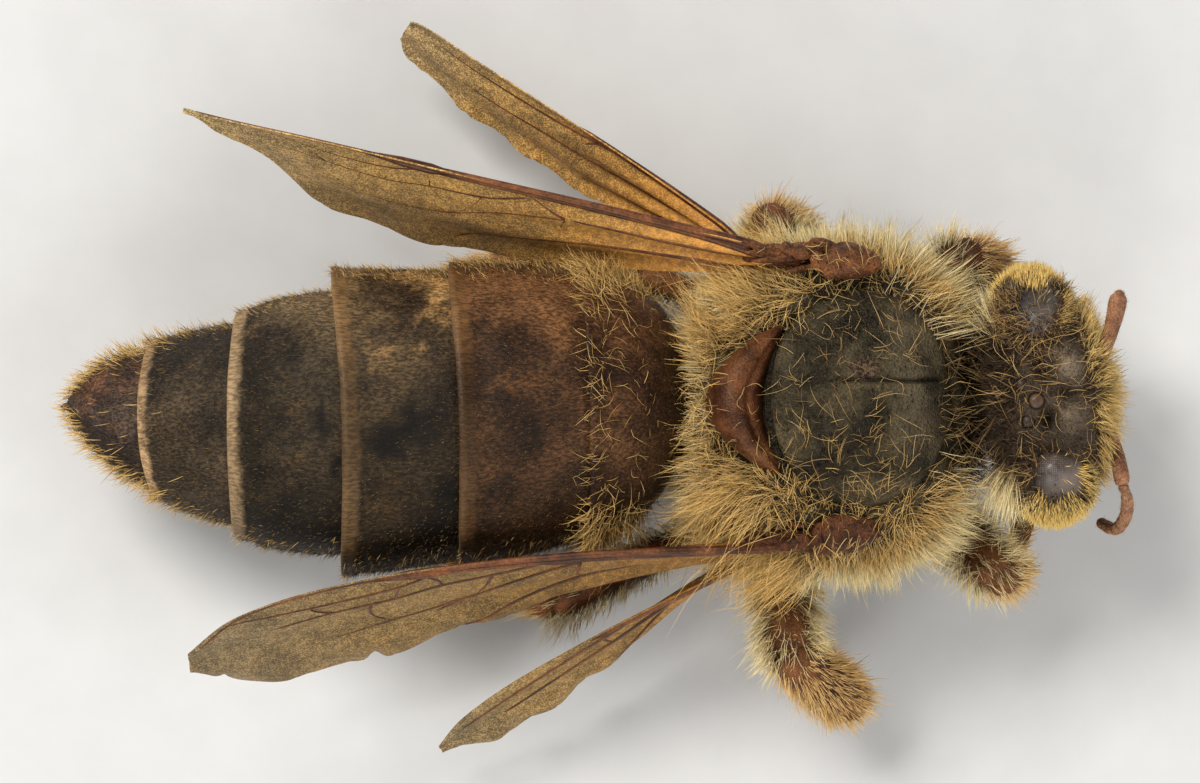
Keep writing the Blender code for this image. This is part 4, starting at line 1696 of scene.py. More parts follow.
        # Near black hair at the neck stands in for the shade between head and trunk: painted shade; a few
        # hairs are paler.
        neck = sow(
            skin, 420.0, lambda p, n: step(5.42, 5.55, p[:, 0]) * (np.abs(n[:, 1]) > 0.25), unwrap, rng
        )
        lie = np.stack(
            (0.5 + 0 * neck.points[:, 0], np.sign(neck.points[:, 1] + 0.14), 0.15 + 0 * neck.points[:, 0]),
            1,
        )
        lie += rng.normal(0, 0.3, lie.shape)
        pale = rng.random(len(lie)) < 0.10
        kind = Hair(
            0.56, 0.013, lift=0.74, scatter=0.26, curl=0.24, vary=0.3, steps=4, clump=0.4,
            clumps=len(lie) // 8,
        )
        for word, chosen, finish in (("dark", ~pale, DUSK), ("pale", pale, BRONZE)):
            grow(f"coat_neck_{word}", neck.pick(chosen), kind, lie[chosen], finish, rng)

    def build(self, rng: np.random.Generator) -> None:
        """Makes the whole trunk.

        Args:
            rng: The source of chance.
        """
        skin = self.skin()
        self.coat(skin, rng)
        settle(skin, THORAX_SHELL, ("pronotum", "mesothorax", "propodeum"))
        shield = self.scutellum()
        unwrap = round_unwrap(np.array(self.scutellum_centre))
        few = sow(shield, 42.0, lambda p, n: (n[:, 2] > 0.1) * (0.4 + 0.6 * (p[:, 0] < 1.8)), unwrap, rng)
        lie = np.tile((-1.0, 0.0, 0.0), (len(few.points), 1)) + rng.normal(0, 0.6, (len(few.points), 3))
        grow("coat_shield", few, Hair(0.36, 0.013, lift=0.3, curl=0.3, steps=5), lie, GOLD, rng)
        settle(shield, RUST_SHELL, ("scutellum",))
        for side in Side:
            cover, hinge = self.tegula(side), self.hinge(side)
            roots = [
                sow(cover, 75.0, lambda p, n: (n[:, 2] > 0.0) * (0.35 + (p[:, 0] > 3.85)), unwrap, rng),
                sow(hinge, 26.0, lambda p, n: (n[:, 2] > 0.1).astype(float), unwrap, rng),
            ]
            roots = Roots.gather(roots)
            lie = (
                np.tile((-0.5, 0.6 * side.value, 0.1), (len(roots.points), 1))
                + rng.normal(0, 0.5, (len(roots.points), 3))
            )
            kind = Hair(0.30, 0.011, lift=0.35, scatter=0.2, curl=0.3, steps=4, vary=0.35)
            grow(f"coat_wing_root_{side.word}", roots, kind, lie, GOLD, rng)
            # The right cover and its hinge take the darker copy: painted shade.
            shell = TEGULA_SHELL if side is Side.LEFT else TEGULA_PAINTED_SHADE_SHELL
            settle(cover, shell, (f"tegula_{side.word}",))
            settle(hinge, shell)


# ---------------------------------------------------------------- abdomen
@dataclass
class Abdomen:
    """Six plates, each tucked under the margin of the one before, a velvet of short hair and fringes."""

    sides: int = 56
    inset: float = 0.07
    line: tuple = (
        (1.80, -0.12, 2.98, 0.0), (1.40, -0.12, 3.00, 0.0), (0.0, -0.17, 3.05, 6.0), (-2.0, -0.35, 3.10, 8.0),
        (-3.9, -0.45, 3.00, 6.0), (-5.7, -0.50, 2.76, -5.0), (-7.15, -0.40, 2.46, -9.0), (
            -8.3, -0.20, 2.22, -9.0
        ),
    )
    plates: tuple = (
        (
            (1.78, 0.30, 0.30), (1.50, 0.40, 0.42), (1.30, 0.90, 0.86), (0.98, 1.56, 1.42),
            (0.54, 1.96, 1.80), (0.10, 2.18, 1.98), (-0.02, 2.21, 2.01),
        ),
        (
            (0.30, 1.86, 1.70), (0.05, 2.10, 1.92), (-0.80, 2.28, 2.06), (-1.50, 2.35, 2.11),
            (-1.92, 2.41, 2.14), (-2.03, 2.42, 2.15),
        ),
        (
            (-1.70, 2.12, 1.90), (-1.95, 2.30, 2.05), (-2.80, 2.37, 2.09), (-3.40, 2.41, 2.09),
            (-3.76, 2.45, 2.11), (-3.87, 2.46, 2.12),
        ),
        (
            (-3.50, 1.98, 1.74), (-3.80, 2.13, 1.90), (-4.60, 2.07, 1.84), (-5.20, 1.96, 1.72),
            (-5.62, 1.84, 1.59), (-5.73, 1.81, 1.57),
        ),
        (
            (-5.40, 1.52, 1.32), (-5.66, 1.66, 1.45), (-6.30, 1.54, 1.33), (-6.80, 1.41, 1.20),
            (-7.07, 1.31, 1.11), (-7.17, 1.27, 1.08),
        ),
        (
            (-6.85, 1.04, 0.86), (-7.10, 1.16, 0.98), (-7.60, 0.98, 0.83), (-7.94, 0.66, 0.58),
            (-8.16, 0.30, 0.30), (-8.25, 0.12, 0.14),
        ),
    )
    margins: tuple = (0.0, 0.24, 0.22, 0.17, 0.13, 0.0)
    stains: tuple = (
        (-3.15, -0.72, 0.50, 0.34), (-2.85, -0.42, 0.26, 0.50), (-2.40, -1.50, 0.26, 0.34), (
            -3.98, -1.15, 0.18, 0.30
        ),
        (-4.15, -0.30, 0.14, 0.60), (-5.90, -0.70, 0.20, 0.60),
    )
    arches: tuple = (
        (-8.25, 0.0, 0.0, 0.0), (-7.17, 0.04, -0.04, 0.22), (-5.73, 0.03, 0.015, 0.125), (
            -3.87, 0.08, -0.085, -0.225
        ),
        (-2.03, 0.01, -0.09, -0.17), (-0.02, -0.05, -0.075, -0.125), (1.0, 0.0, 0.0, 0.0),
    )

    def arched(self, places: Array) -> Array:
        """How far forward each place moves, so that the margins curve across the back as they do in life.

        Args:
            places: Points, one a row.

        Returns:
            The move of each point.
        """
        y, _, _ = self.middle(places[:, 0]).T
        half = np.interp(places[:, 0], (-8.3, -7.1, -3.9, -2.0, 0.0, 1.6), (0.5, 1.3, 2.4, 2.4, 2.2, 0.8))
        v = np.clip((places[:, 1] - y) / half, -1.1, 1.1)
        table = np.array(self.arches)
        a, b, c = (np.interp(places[:, 0], table[:, 0], table[:, k]) for k in (1, 2, 3))
        return a + b * v + c * v**2

    def stained(self, places: Array) -> Array:
        """How far each place lies in one of the back's black stains, which have ragged edges.

        Args:
            places: Points, one a row.

        Returns:
            The darkness of each point, from zero to one.
        """
        ragged = places[:, :2] + 0.13 * np.stack((ripple(places, 1.3, 44), ripple(places, 1.3, 45)), 1)
        ragged += 0.09 * np.stack((ripple(places, 3.6, 46), ripple(places, 3.6, 47)), 1)
        value = np.zeros(len(places))
        for x, y, long, wide in self.stains:
            value = np.maximum(
                value, bell(np.hypot((ragged[:, 0] - x) / long, (ragged[:, 1] - y) / wide), 0.0, 1.0)
            )
        return value * step(3.6, 4.2, places[:, 2])

    def middle(self, x: Array) -> Array:
        """The abdomen's middle line and its lean, at places along it."""
        table = np.array(self.line)[::-1]
        return curve_through(table[:, 0], table[:, 1:], np.atleast_1d(x))

    def plate(self, number: int) -> Piece:
        """One plate from under the plate before it to its own margin, which is a thin lip.

        Args:
            number: Which plate, the first one zero.

        Returns:
            The finished piece.
        """
        stations = self.plates[number]
        x = np.array([s[0] for s in stations])
        rings = []
        for (station, half, tall), (y, z, lean) in zip(stations, self.middle(x)):
            rings.append(self.section(station, y, z, lean, half - self.inset, tall - self.inset))
        if number < 5:
            station, half, tall = stations[-1]
            y, z, lean = self.middle(np.array([station]))[0]
            for inward, forward in ((0.045, 0.005), (0.075, 0.10), (0.10, 0.30)):
                trim = self.inset + inward
                rings.append(self.section(station + forward, y, z, lean, half - trim, tall - trim))
        piece = loft(f"abdomen_plate_{number + 1}", rings)
        refine(piece, 2)
        places, out = points_of(piece), normals_of(piece)
        y, z, _ = self.middle(places[:, 0]).T
        turn = np.degrees(np.arctan2(places[:, 2] - z, np.abs(places[:, 1] - y)))
        fold = bell(turn, -27, 4.5) * (0.4 if number == 5 else 1.0)
        shelf = 1 - step(-34, -27, turn)
        swell = 0.016 * ripple(places, 0.5, 40 + number) + 0.007 * ripple(places, 1.6, 50 + number)
        back = stations[-1][0]
        near = places[:, 0] - back
        wave = 0.03 * np.sin(places[:, 1] * 4.0 + number) * (number > 0)
        lip = 0.024 * bell(near, 0.0, 0.07) * (number < 5)
        hollow = 0.020 * bell(near - 0.30, wave, 0.10) * (number < 5)
        places += out * (swell - 0.07 * fold - 0.03 * shelf + lip - hollow)[:, None]
        facing = step(-0.75, -0.45, out[:, 0])
        mark(
            piece, "rim",
            np.where(facing > 0.5, np.maximum(near, 0), 0.0) if self.margins[number] else 1.0 + near,
        )
        mark(piece, "flank", step(0.1, 0.75, np.abs(places[:, 1] - y) / 2.2))
        places[:, 0] += self.arched(places)
        put_points(piece, places)
        mark(piece, "stain", self.stained(places))
        return piece

    def section(self, x: float, y: float, z: float, lean: float, half: float, tall: float) -> Array:
        """One upright section of the abdomen, leaning a little and flatter below.

        Args:
            x: How far forward its middle is.
            y: How far left its middle is.
            z: How high its middle is.
            lean: How far it leans, in degrees.
            half: Half of its width.
            tall: Its height above the middle.

        Returns:
            The section's points.
        """
        tip = math.radians(lean)
        up = np.array((-math.sin(tip) * 0.35, 0.0, math.cos(tip)))
        return ring(
            np.array((x, y, z)), np.array((0.0, 1.0, 0.0)), up, half, tall, tall * 0.94, self.sides, 2.08
        )

    def coat(self, skins: Sequence[Piece], rng: np.random.Generator) -> None:
        """Grows the velvet, just clear of the shell, and the fringes of the first and last plates.

        Args:
            skins: The skins that the coat grows on.
            rng: The source of chance.
        """
        unwrap = round_unwrap(np.array((-3.2, -0.35, 3.0)))
        gathered = []
        for number, skin in enumerate(skins):
            front = self.plates[number][1][0]
            back = self.plates[number][-1][0]
            margin = self.margins[number]

            def shown(
                places: Array, out: Array, front: float = front, back: float = back, margin: float = margin
            ) -> Array:
                """The part of a plate that is not tucked away, thinner on its margin.

                Args:
                    places: Points, one a row.
                    out: The skin's normals there.
                    front: Where the plate begins to show.
                    back: Where the plate ends.
                    margin: How wide its bare margin is.

                Returns:
                    How thick the hair stands at each point.
                """
                at = places[:, 0] - self.arched(places)
                bare = 0.8 * (at < back + margin) if margin else 0.0
                return (
                    (at < front + 0.02)
                    * (out[:, 0] > -0.55)
                    * (1 - bare)
                    * (1 - 0.85 * self.stained(places))
                )

            gathered.append(sow(skin, 350.0 if number else 110.0, shown, unwrap, rng))
        for word, some in (("front", gathered[:3]), ("rear", gathered[3:])):
            roots = Roots.gather(some)
            self.velvet(word, roots, rng)

        def first(places: Array, out: Array) -> Array:
            """The first plate's sides, and a thin line before its back edge.

            Args:
                places: Points, one a row.
                out: The skin's normals there.

            Returns:
                How thick the hair stands at each point.
            """
            y, _, _ = self.middle(places[:, 0]).T
            side = step(0.66, 0.90, np.abs(places[:, 1] - y) / 2.1)
            edge = bell(places[:, 0], 0.10, 0.12) + 0.20 * bell(places[:, 0], 0.55, 0.30)
            return (
                np.clip(0.30 * edge + side, 0, 1)
                * (out[:, 0] > -0.6)
                * (places[:, 0] > -0.1)
                * (places[:, 0] < 1.60)
            )

        roots = sow(skins[0], 470.0, first, unwrap, rng)
        count = len(roots.points)
        lie = np.tile((-0.8, 0.0, 0.0), (count, 1)) + rng.normal(0, 0.45, (count, 3))
        kind = Hair(
            0.38, 0.011, lift=0.24, scatter=0.26, curl=0.42, droop=0.0, vary=0.35, steps=4, clump=0.35,
            clumps=count // 5,
        )
        y, _, _ = self.middle(roots.points[:, 0]).T
        fringe = 1 + 0.55 * step(0.70, 0.95, np.abs(roots.points[:, 1] - y) / 2.1)
        grow("coat_first_plate", roots, kind, lie, GOLD, rng, fringe)

        def last(places: Array, out: Array) -> Array:
            """The sides and tip of the last plates."""
            level = 1 - step(0.35, 0.70, np.abs(out[:, 2]))
            return (0.03 + 0.97 * level) * (1 - step(-7.3, -6.0, places[:, 0]))

        def sides(places: Array, out: Array) -> Array:
            """The steep sides of the second to fifth plates."""
            return (1 - step(0.30, 0.60, np.abs(out[:, 2]))) * (out[:, 0] > -0.5)

        pair = [sow(skins[k], density, last, unwrap, rng) for k, density in ((4, 150.0), (5, 380.0))]
        roots = Roots.gather(pair)
        roots = roots.pick((roots.normals[:, 0] > -0.95) & (roots.points[:, 0] < -5.7))
        count = len(roots.points)
        lie = np.tile((-1.0, 0.0, 0.0), (count, 1)) + rng.normal(0, 0.2, (count, 3))
        kind = Hair(
            0.27, 0.012, lift=0.50, scatter=0.18, curl=0.10, vary=0.3, steps=3, clump=0.25,
            clumps=max(9, count // 3),
        )
        grow("coat_tail", roots, kind, lie, GOLD, rng)
        some = [sow(skins[k], 110.0, sides, unwrap, rng) for k in (1, 2, 3, 4)]
        roots = Roots.gather(some)
        lie = np.tile((-1.0, 0.0, 0.1), (len(roots.points), 1)) + rng.normal(0, 0.2, (len(roots.points), 3))
        kind = Hair(0.14, 0.010, lift=0.55, scatter=0.18, curl=0.10, vary=0.3, steps=2)
        longer = 1 + 0.5 * (1 - step(-6.8, -5.0, roots.points[:, 0]))
        grow("coat_abdomen_sides", roots, kind, lie, GOLD, rng, longer)

    def velvet(self, word: str, roots: Roots, rng: np.random.Generator) -> None:
        """Grows the short, even pile that lies back over the plates, a little longer at the sides and tip.

        Args:
            word: The word that ends the piece's name.
            roots: The hairs' roots.
            rng: The source of chance.
        """
        lie = np.tile((-1.0, 0.0, -0.05), (len(roots.points), 1))
        level = 1 - step(0.2, 0.6, np.abs(roots.normals[:, 2]))
        length = 1 + 0.8 * (1 - step(-7.6, -5.5, roots.points[:, 0])) + 0.9 * level
        kind = Hair(0.072, 0.009, lift=0.34, scatter=0.18, vary=0.3, steps=1)
        grow(f"coat_velvet_{word}", roots, kind, lie, VELVET, rng, length)

    def sting(self) -> Piece:
        """The horn-coloured tip between the last plates.

        Returns:
            The finished piece.
        """
        y, z, _ = self.middle(np.array([-8.2]))[0]
        profile = ((0.0, 0.8), (0.25, 1.0), (0.6, 0.8), (0.85, 0.5), (1.0, 0.16))
        piece = limb(
            "sting_tip", np.array(((-8.05, y, z), (-8.2, y, z), (-8.34, y, z - 0.02))), profile, 0.10, 0.13,
            12,
        )
        refine(piece, 1)
        return piece

    def build(self, rng: np.random.Generator) -> None:
        """Makes the abdomen.

        Args:
            rng: The source of chance.
        """
        looks = (
            Plate(
                "banded_cuticle_1", (0.024, 0.0095, 0.0045), (0.108, 0.048, 0.0185), (0.15, 0.057, 0.018),
                0.5, front=0.72, upper=1.5,
            ),
            Plate(
                "banded_cuticle_2", (0.028, 0.012, 0.0052), (0.096, 0.043, 0.0170), (0.125, 0.054, 0.019),
                0.4, (0.11, 0.052, 0.020), 0.19, 0.40, upper=1.7,
            ),
            Plate(
                "banded_cuticle_3", (0.010, 0.006, 0.0033), (0.052, 0.0325, 0.0145), (0.104, 0.058, 0.021),
                0.45, (0.138, 0.078, 0.033), 0.18, 0.50, upper=4.2,
            ),
            Plate(
                "banded_cuticle_4", (0.006, 0.0038, 0.0022), (0.039, 0.0265, 0.0138), (0.089, 0.049, 0.018),
                0.3, (0.335, 0.220, 0.112), 0.215, 0.78, upper=4.2,
            ),
            Plate(
                "banded_cuticle_5", (0.014, 0.010, 0.007), (0.084, 0.056, 0.031), (0.118, 0.064, 0.025),
                0.3, (0.355, 0.224, 0.112), 0.18, 0.9, upper=1.9,
            ),
            Plate(
                "banded_cuticle_6", (0.026, 0.015, 0.011), (0.104, 0.074, 0.057), (0.160, 0.068, 0.033), 0.6
            ),
        )
        skins = [self.plate(k) for k in range(6)]
        self.coat(skins, rng)
        for number, (skin, look) in enumerate(zip(skins, looks)):
            settle(skin, look, (f"abdomen_{number + 1}",))
        settle(self.sting(), TEGULA_SHELL)


# ---------------------------------------------------------------- head
@dataclass
class Head:
    """The head: a skin with its eyes, jaws, tongue and antennae, and a coat that differs by region."""

    centre: tuple = (6.86, -0.04, 3.12)
    yaw: float = 7.5
    sides: int = 44
    stations: tuple = (
        (1.74, 0.34, 0.16, -0.34), (1.60, 0.84, 0.42, -0.60), (1.32, 1.16, 0.66, -0.78), (
            0.88, 1.48, 0.84, -0.88
        ),
        (0.30, 1.70, 0.96, -0.90), (-0.30, 1.60, 1.00, -0.84), (-0.85, 1.32, 1.00, -0.70), (
            -1.30, 0.98, 0.94, -0.50
        ),
        (-1.60, 0.68, 0.82, -0.28), (-1.72, 0.44, 0.68, -0.06),
    )
    eye_centre: tuple = (-0.08, 1.29, 0.44)
    eye_radii: tuple = (0.58, 0.56, 1.28)
    eye_splay: float = 9.0
    ocelli: tuple = (
        ("middle", (-0.27, -0.05, 1.67)), ("left", (-0.44, 0.22, 1.45)), ("right", (-0.42, -0.34, 1.45))
    )
    ocellus_radius: float = 0.135
    eye_zone: tuple = (0.59, 0.57, 1.3)
    scapes: tuple = (((7.66, 0.46, 3.26), (7.94, 1.50, 3.80)), ((7.74, -0.34, 3.26), (8.00, -1.42, 3.74)))
    scape_zone: tuple = (0.115, 0.20)

    def carry(self, places: Array) -> Array:
        """Takes points of the head's own frame into the bee's.

        Args:
            places: Points in the head's own frame, one a row.

        Returns:
            The same points in the bee's frame.
        """
        turn = math.radians(self.yaw)
        c, s = math.cos(turn), math.sin(turn)
        spin = np.array(((c, s, 0.0), (-s, c, 0.0), (0.0, 0.0, 1.0)))
        return places @ spin + np.array(self.centre)

    def own(self, places: Array) -> Array:
        """Takes points of the bee's frame into the head's own.

        Args:
            places: Points in the bee's frame, one a row.

        Returns:
            The same points in the head's own frame.
        """
        turn = math.radians(self.yaw)
        c, s = math.cos(turn), math.sin(turn)
        spin = np.array(((c, -s, 0.0), (s, c, 0.0), (0.0, 0.0, 1.0)))
        return (places - np.array(self.centre)) @ spin

    def skin(self) -> Piece:
        """The head's skin, with the crown's lobes, the brow groove, the face's shield and hollow sockets,
        painted shade marked in its hollows and a painted highlight on its lobes.

        Returns:
            The skin.
        """
        rings = []
        for height, half, front, back in self.stations[::-1]:
            middle = (front + back) / 2
            rings.append(
                ring(
                    (middle, 0.0, height), (0, 1, 0), (1, 0, 0), half, front - middle, middle - back,
                    self.sides, 2.2,
                )
            )
        piece = loft("head_skin", rings)
        refine(piece, 2)
        places, out = points_of(piece), normals_of(piece)
        x, y, z = places.T
        up = step(0.2, 0.7, out[:, 2])
        ahead = step(0.3, 0.8, out[:, 0])
        brow = bell(y, 0.0, 0.06) * step(0.0, 0.3, x) * step(0.4, 0.9, z)
        crown = bell(x, 0.30, 0.20) * (0.9 * bell(y, 0.38, 0.22) + bell(y, -0.38, 0.20)) * up
        pit = bell(x, 0.22, 0.14) * bell(y, 0.0, 0.14) * up
        ditch = bell(x, -0.10, 0.16) * (0.8 * bell(y, 0.52, 0.16) + 1.1 * bell(y, -0.40, 0.17)) * up
        moat = bell(np.abs(y), 0.86, 0.09) * step(-0.5, -0.2, x) * (1 - step(0.35, 0.6, x)) * up
        face = bell(z, -0.85, 0.42) * bell(y, 0.0, 0.62) * ahead
        suture = bell(np.hypot(y / 0.72, (z + 0.85) / 0.52), 1, 0.09) * ahead
        sockets = (bell(y, 0.40, 0.17) + bell(y, -0.40, 0.17)) * bell(z, 0.14, 0.17) * ahead
        lobe = bell(np.abs(y), 1.05, 0.22) * bell(x, -0.55, 0.3) * 0.06
        raised = 0.20 * crown + 0.12 * face + lobe + 0.07 * bell(np.hypot(x + 0.2, y), 0.0, 0.3) * up
        raised += 0.016 * up * ripple(places, 2.6, 61)
        sunk = 0.05 * brow + 0.12 * pit + 0.28 * ditch + 0.05 * suture + 0.14 * sockets + 0.07 * moat
        places += out * (raised - sunk + 0.014 * ripple(places, 1.4, 60))[:, None]
        put_points(piece, self.carry(places))
        # Painted shade: near black in the brow groove, the pit, the ditches, the suture, the sockets and the
        # moat.
        mark(
            piece, "groove",
            np.clip(brow + 0.9 * pit + 1.1 * ditch + 0.6 * suture + 0.8 * sockets + 0.8 * moat, 0, 1),
        )
        # Painted highlight on the crown's lobes and the top of the brow.
        mark(piece, "painted_light", np.clip(1.2 * crown + 0.35 * bell(x, 0.30, 0.30) * up, 0, 1))
        mark(
            piece, "crust",
            0.8 * np.clip(
                bell(x, -0.16, 0.20) * bell(y, 0.62, 0.16) + 0.7 * bell(x, 0.1, 0.1) * bell(y, 0.28, 0.2),
                0, 1,
            ) * up,
        )
        return piece

    def eye(self, side: Side) -> Piece:
        """One compound eye: a long bean with an inner edge that bends round the antenna's socket.

        Args:
            side: Which side it is on.

        Returns:
            The finished piece.
        """
        piece = ball(f"eye_dome_{side.word}", np.zeros(3), np.array(self.eye_radii), detail=30)
        places = points_of(piece)
        z = places[:, 2]
        bend = 0.07 * (1 - (z / 1.2) ** 2)
        places[:, 1] += side.value * bend
        places[:, 0] -= 0.05 * (z / 1.2)
        put_points(piece, places)
        turn = Matrix.Rotation(math.radians(side.value * self.eye_splay), 4, "X")
        piece.data.transform(turn)
        place = np.array((self.eye_centre[0], side.value * self.eye_centre[1], self.eye_centre[2]))
        put_points(piece, self.carry(points_of(piece) + place))
        refine(piece, 1)
        return piece

    def simple_eye(self, place: Array, word: str, crown: Array) -> Piece:
        """One small domed eye, set on the skin so that half of its dome stands clear.

        Args:
            place: Its middle in the head's own frame.
            word: Which of the three eyes it is.
            crown: The skin's points in the head's own frame.

        Returns:
            The finished piece.
        """
        radius = self.ocellus_radius * (1.0 if word == "middle" else 0.82)
        near = np.linalg.norm(crown[:, :2] - place[:2], axis=1) < 0.09
        sunk = 0.015 if word == "middle" else 0.065
        place = np.array((place[0], place[1], crown[near, 2].max() - sunk))
        piece = ball(f"simple_eye_{word}", np.zeros(3), np.array((radius, radius, radius * 0.8)), detail=14)
        height = points_of(piece)[:, 2] / radius
        put_points(piece, self.carry(points_of(piece) + np.array(place)))
        mark(piece, "height", height)
        return piece

    def jaw(self, side: Side) -> Piece:
        """One jaw: a curved, flattened spoon, notched at its end.

        Args:
            side: Which side it is on.

        Returns:
            The finished piece.
        """
        s = side.value
        line = np.array(
            (
                (0.42, 0.66 * s, -1.40), (0.62, 0.62 * s, -1.62), (0.80, 0.46 * s, -1.90),
                (0.86, 0.24 * s, -2.12), (0.80, 0.06 * s, -2.22),
            )
        )
        profile = ((0.0, 0.7), (0.08, 1.0), (0.3, 0.9), (0.55, 0.78), (0.78, 0.86), (0.92, 0.66), (1.0, 0.25))
        piece = limb(f"jaw_{side.word}", self.carry(line), profile, 0.17, 0.25, 16)
        refine(piece, 1)
        return piece

    def mouth(self) -> Piece:
        """The upper lip over the folded tongue and its two sheaths.

        Returns:
            The finished piece.
        """
        s = self.carry
        profile = ((0.0, 0.5), (0.1, 0.9), (0.4, 1.0), (0.75, 0.8), (0.95, 0.5), (1.0, 0.2))
        lip = limb(
            "lip", s(np.array(((0.66, -0.42, -1.66), (0.86, 0.0, -1.76), (0.66, 0.42, -1.66)))),
            ((0.0, 0.3), (0.15, 0.9), (0.5, 1.0), (0.85, 0.9), (1.0, 0.3)), 0.13, 0.12, 12,
        )
        parts = [lip]
        for k, y in enumerate((0.09, -0.09)):
            line = np.array(
                (
                    (0.34, y, -1.62), (0.24, y, -2.02), (-0.02, y, -2.22), (-0.46, y, -2.26),
                    (-0.72, y * 0.5, -2.22),
                )
            )
            parts.append(limb(f"sheath_{k}", s(line), profile, 0.10, 0.12, 12))
        line = np.array(((0.30, 0.0, -1.66), (0.16, 0.0, -2.12), (-0.10, 0.0, -2.34), (-0.55, 0.0, -2.38)))
        parts.append(limb("tongue_rod", s(line), profile, 0.07, 0.07, 10))
        piece = join("mouth_parts", parts)
        refine(piece, 1)
        return piece

    def antenna(self, side: Side) -> list[Piece]:
        """One antenna: the scape with its socket ball and swollen end, then the ringed whip.

        Args:
            side: Which side it is on.

        Returns:
            The finished pieces.
        """
        socket, elbow = np.array(self.scapes[0 if side is Side.LEFT else 1])
        if side is Side.LEFT:
            whip = np.array(
                (
                    (7.94, 1.50, 3.80), (8.00, 1.42, 3.10), (8.00, 1.20, 2.45), (7.97, 1.00, 1.95),
                    (7.90, 0.90, 1.55),
                )
            )
            widths = (
                (0.0, 0.6), (0.06, 1.0), (0.14, 0.88), (0.3, 0.86), (0.6, 0.90), (0.88, 1.12), (0.97, 0.95),
                (1.0, 0.5),
            )
        else:
            whip = np.array(
                (
                    (8.00, -1.42, 3.74), (8.10, -1.62, 3.30), (8.12, -1.92, 2.75), (8.00, -2.12, 2.25),
                    (7.80, -2.02, 1.80),
                )
            )
            widths = (
                (0.0, 0.5), (0.06, 0.75), (0.12, 0.55), (0.3, 0.68), (0.6, 0.85), (0.88, 0.95),
                (0.97, 0.85), (1.0, 0.45),
            )
        bow = (socket + elbow) / 2 + np.array((0.05, 0.0, 0.04))
        scape = limb(f"scape_stem_{side.word}", np.array((socket, bow, elbow)), widths, 0.14, 0.135, 14)
        refine(scape, 1)
        shares, sizes = [0.0, 0.03, 0.07], [0.5, 0.85, 0.8]
        for k in range(10):
            begin, end = 0.08 + 0.92 * k / 10, 0.08 + 0.92 * (k + 1) / 10
            fat = (0.74, 0.9, 0.98, 1.0, 1.0, 1.0, 1.0, 0.99, 0.97, 0.9)[k]
            for share, size in ((0.04, 0.86), (0.2, 1.0), (0.8, 1.03), (0.96, 0.88)):
                shares.append(begin + share * (end - begin))
                sizes.append(fat * size)
        sizes[-1] *= 0.7
        shares.append(1.0)
        sizes.append(0.25)
        whip_piece = limb(f"whip_{side.word}", whip, list(zip(shares, sizes)), 0.105, 0.105, 14)
        refine(whip_piece, 1)
        return [scape, whip_piece]

    def coat(self, skin: Piece, rng: np.random.Generator) -> None:
        """Grows long wisps on the crown, a brush on the face, pale hair behind, and a fringe round each eye.

        Args:
            skin: The skin that the coat grows on.
            rng: The source of chance.
        """
        unwrap = round_unwrap(np.array(self.centre))

        def clear(places: Array) -> Array:
            """One away from the compound and simple eyes and the first length of each antenna.

            Args:
                places: Points, one a row.

            Returns:
                One where hair may stand and zero where it may not.
            """
            own = self.own(places)
            free = np.ones(len(own))
            for s in (1, -1):
                away = (
                    (own - np.array((self.eye_centre[0], self.eye_centre[1] * s, 0.44)))
                    / np.array(self.eye_zone)
                )
                free *= np.linalg.norm(away, axis=1) > 1.0
            for begin, end in self.scapes:
                begin, edge = np.array(begin[:2]), np.array(end[:2]) - np.array(begin[:2])
                t = np.clip(((places[:, :2] - begin) @ edge) / (edge @ edge), -0.15, 1)
                near = np.linalg.norm(places[:, :2] - (begin + t[:, None] * edge), axis=1)
                aside, above = self.scape_zone
                free *= (near > aside) | (np.abs(places[:, 2] - 3.26 - 0.5 * t) > above)
            for word, place in self.ocelli:
                free *= np.linalg.norm(own[:, :2] - np.array(place)[:2], axis=1) > (
                    0.145 if word == "middle" else 0.05
                )
            return free

        def crown(places: Array, out: Array) -> Array:
            """The top of the head."""
            own = self.own(places)
            return (
                clear(places)
                * step(0.25, 0.6, out[:, 2])
                * (places[:, 2] > 3.6)
                * (1 - step(0.62, 0.8, own[:, 0]))
            )

        def pile(places: Array, out: Array) -> Array:
            """The crown and the slope behind it, but not the face.

            Args:
                places: Points, one a row.
                out: The skin's normals there.

            Returns:
                How thick the hair stands at each point.
            """
            own = self.own(places)
            bare = 0.95 * bell(own[:, 0], 0.30, 0.22) * bell(np.abs(own[:, 1]), 0.38, 0.22)
            bare = np.maximum(bare, 0.9 * bell(own[:, 0], -0.10, 0.15) * bell(own[:, 1], -0.40, 0.16))
            slope = step(-0.45, -0.10, out[:, 2]) * (1 - step(-0.35, -0.10, own[:, 0]))
            return (
                clear(places)
                * np.maximum(step(0.25, 0.6, out[:, 2]), slope)
                * (1 - step(0.62, 0.8, own[:, 0]))
                * (1 - bare)
            )

        def hollow(places: Array, out: Array) -> Array:
            """The crown without its hollows and lobes, where long hair is thin.

            Args:
                places: Points, one a row.
                out: The skin's normals there.

            Returns:
                How thick the hair stands at each point.
            """
            own = self.own(places)
            bald = (
                bell(own[:, 0], -0.1, 0.22) * bell(own[:, 1], -0.4, 0.22)
                + bell(own[:, 0], 0.32, 0.2) * bell(np.abs(own[:, 1]), 0.38, 0.2)
            )
            return crown(places, out) * np.clip(1 - 0.9 * bald, 0, 1) * (0.55 + 0.45 * (own[:, 1] > 0))

        def face(places: Array, out: Array) -> Array:
            """The front, thickest between the brow and the lip."""
            own = self.own(places)
            return clear(places) * step(0.1, 0.5, out[:, 0]) * step(0.50, 0.74, own[:, 0])

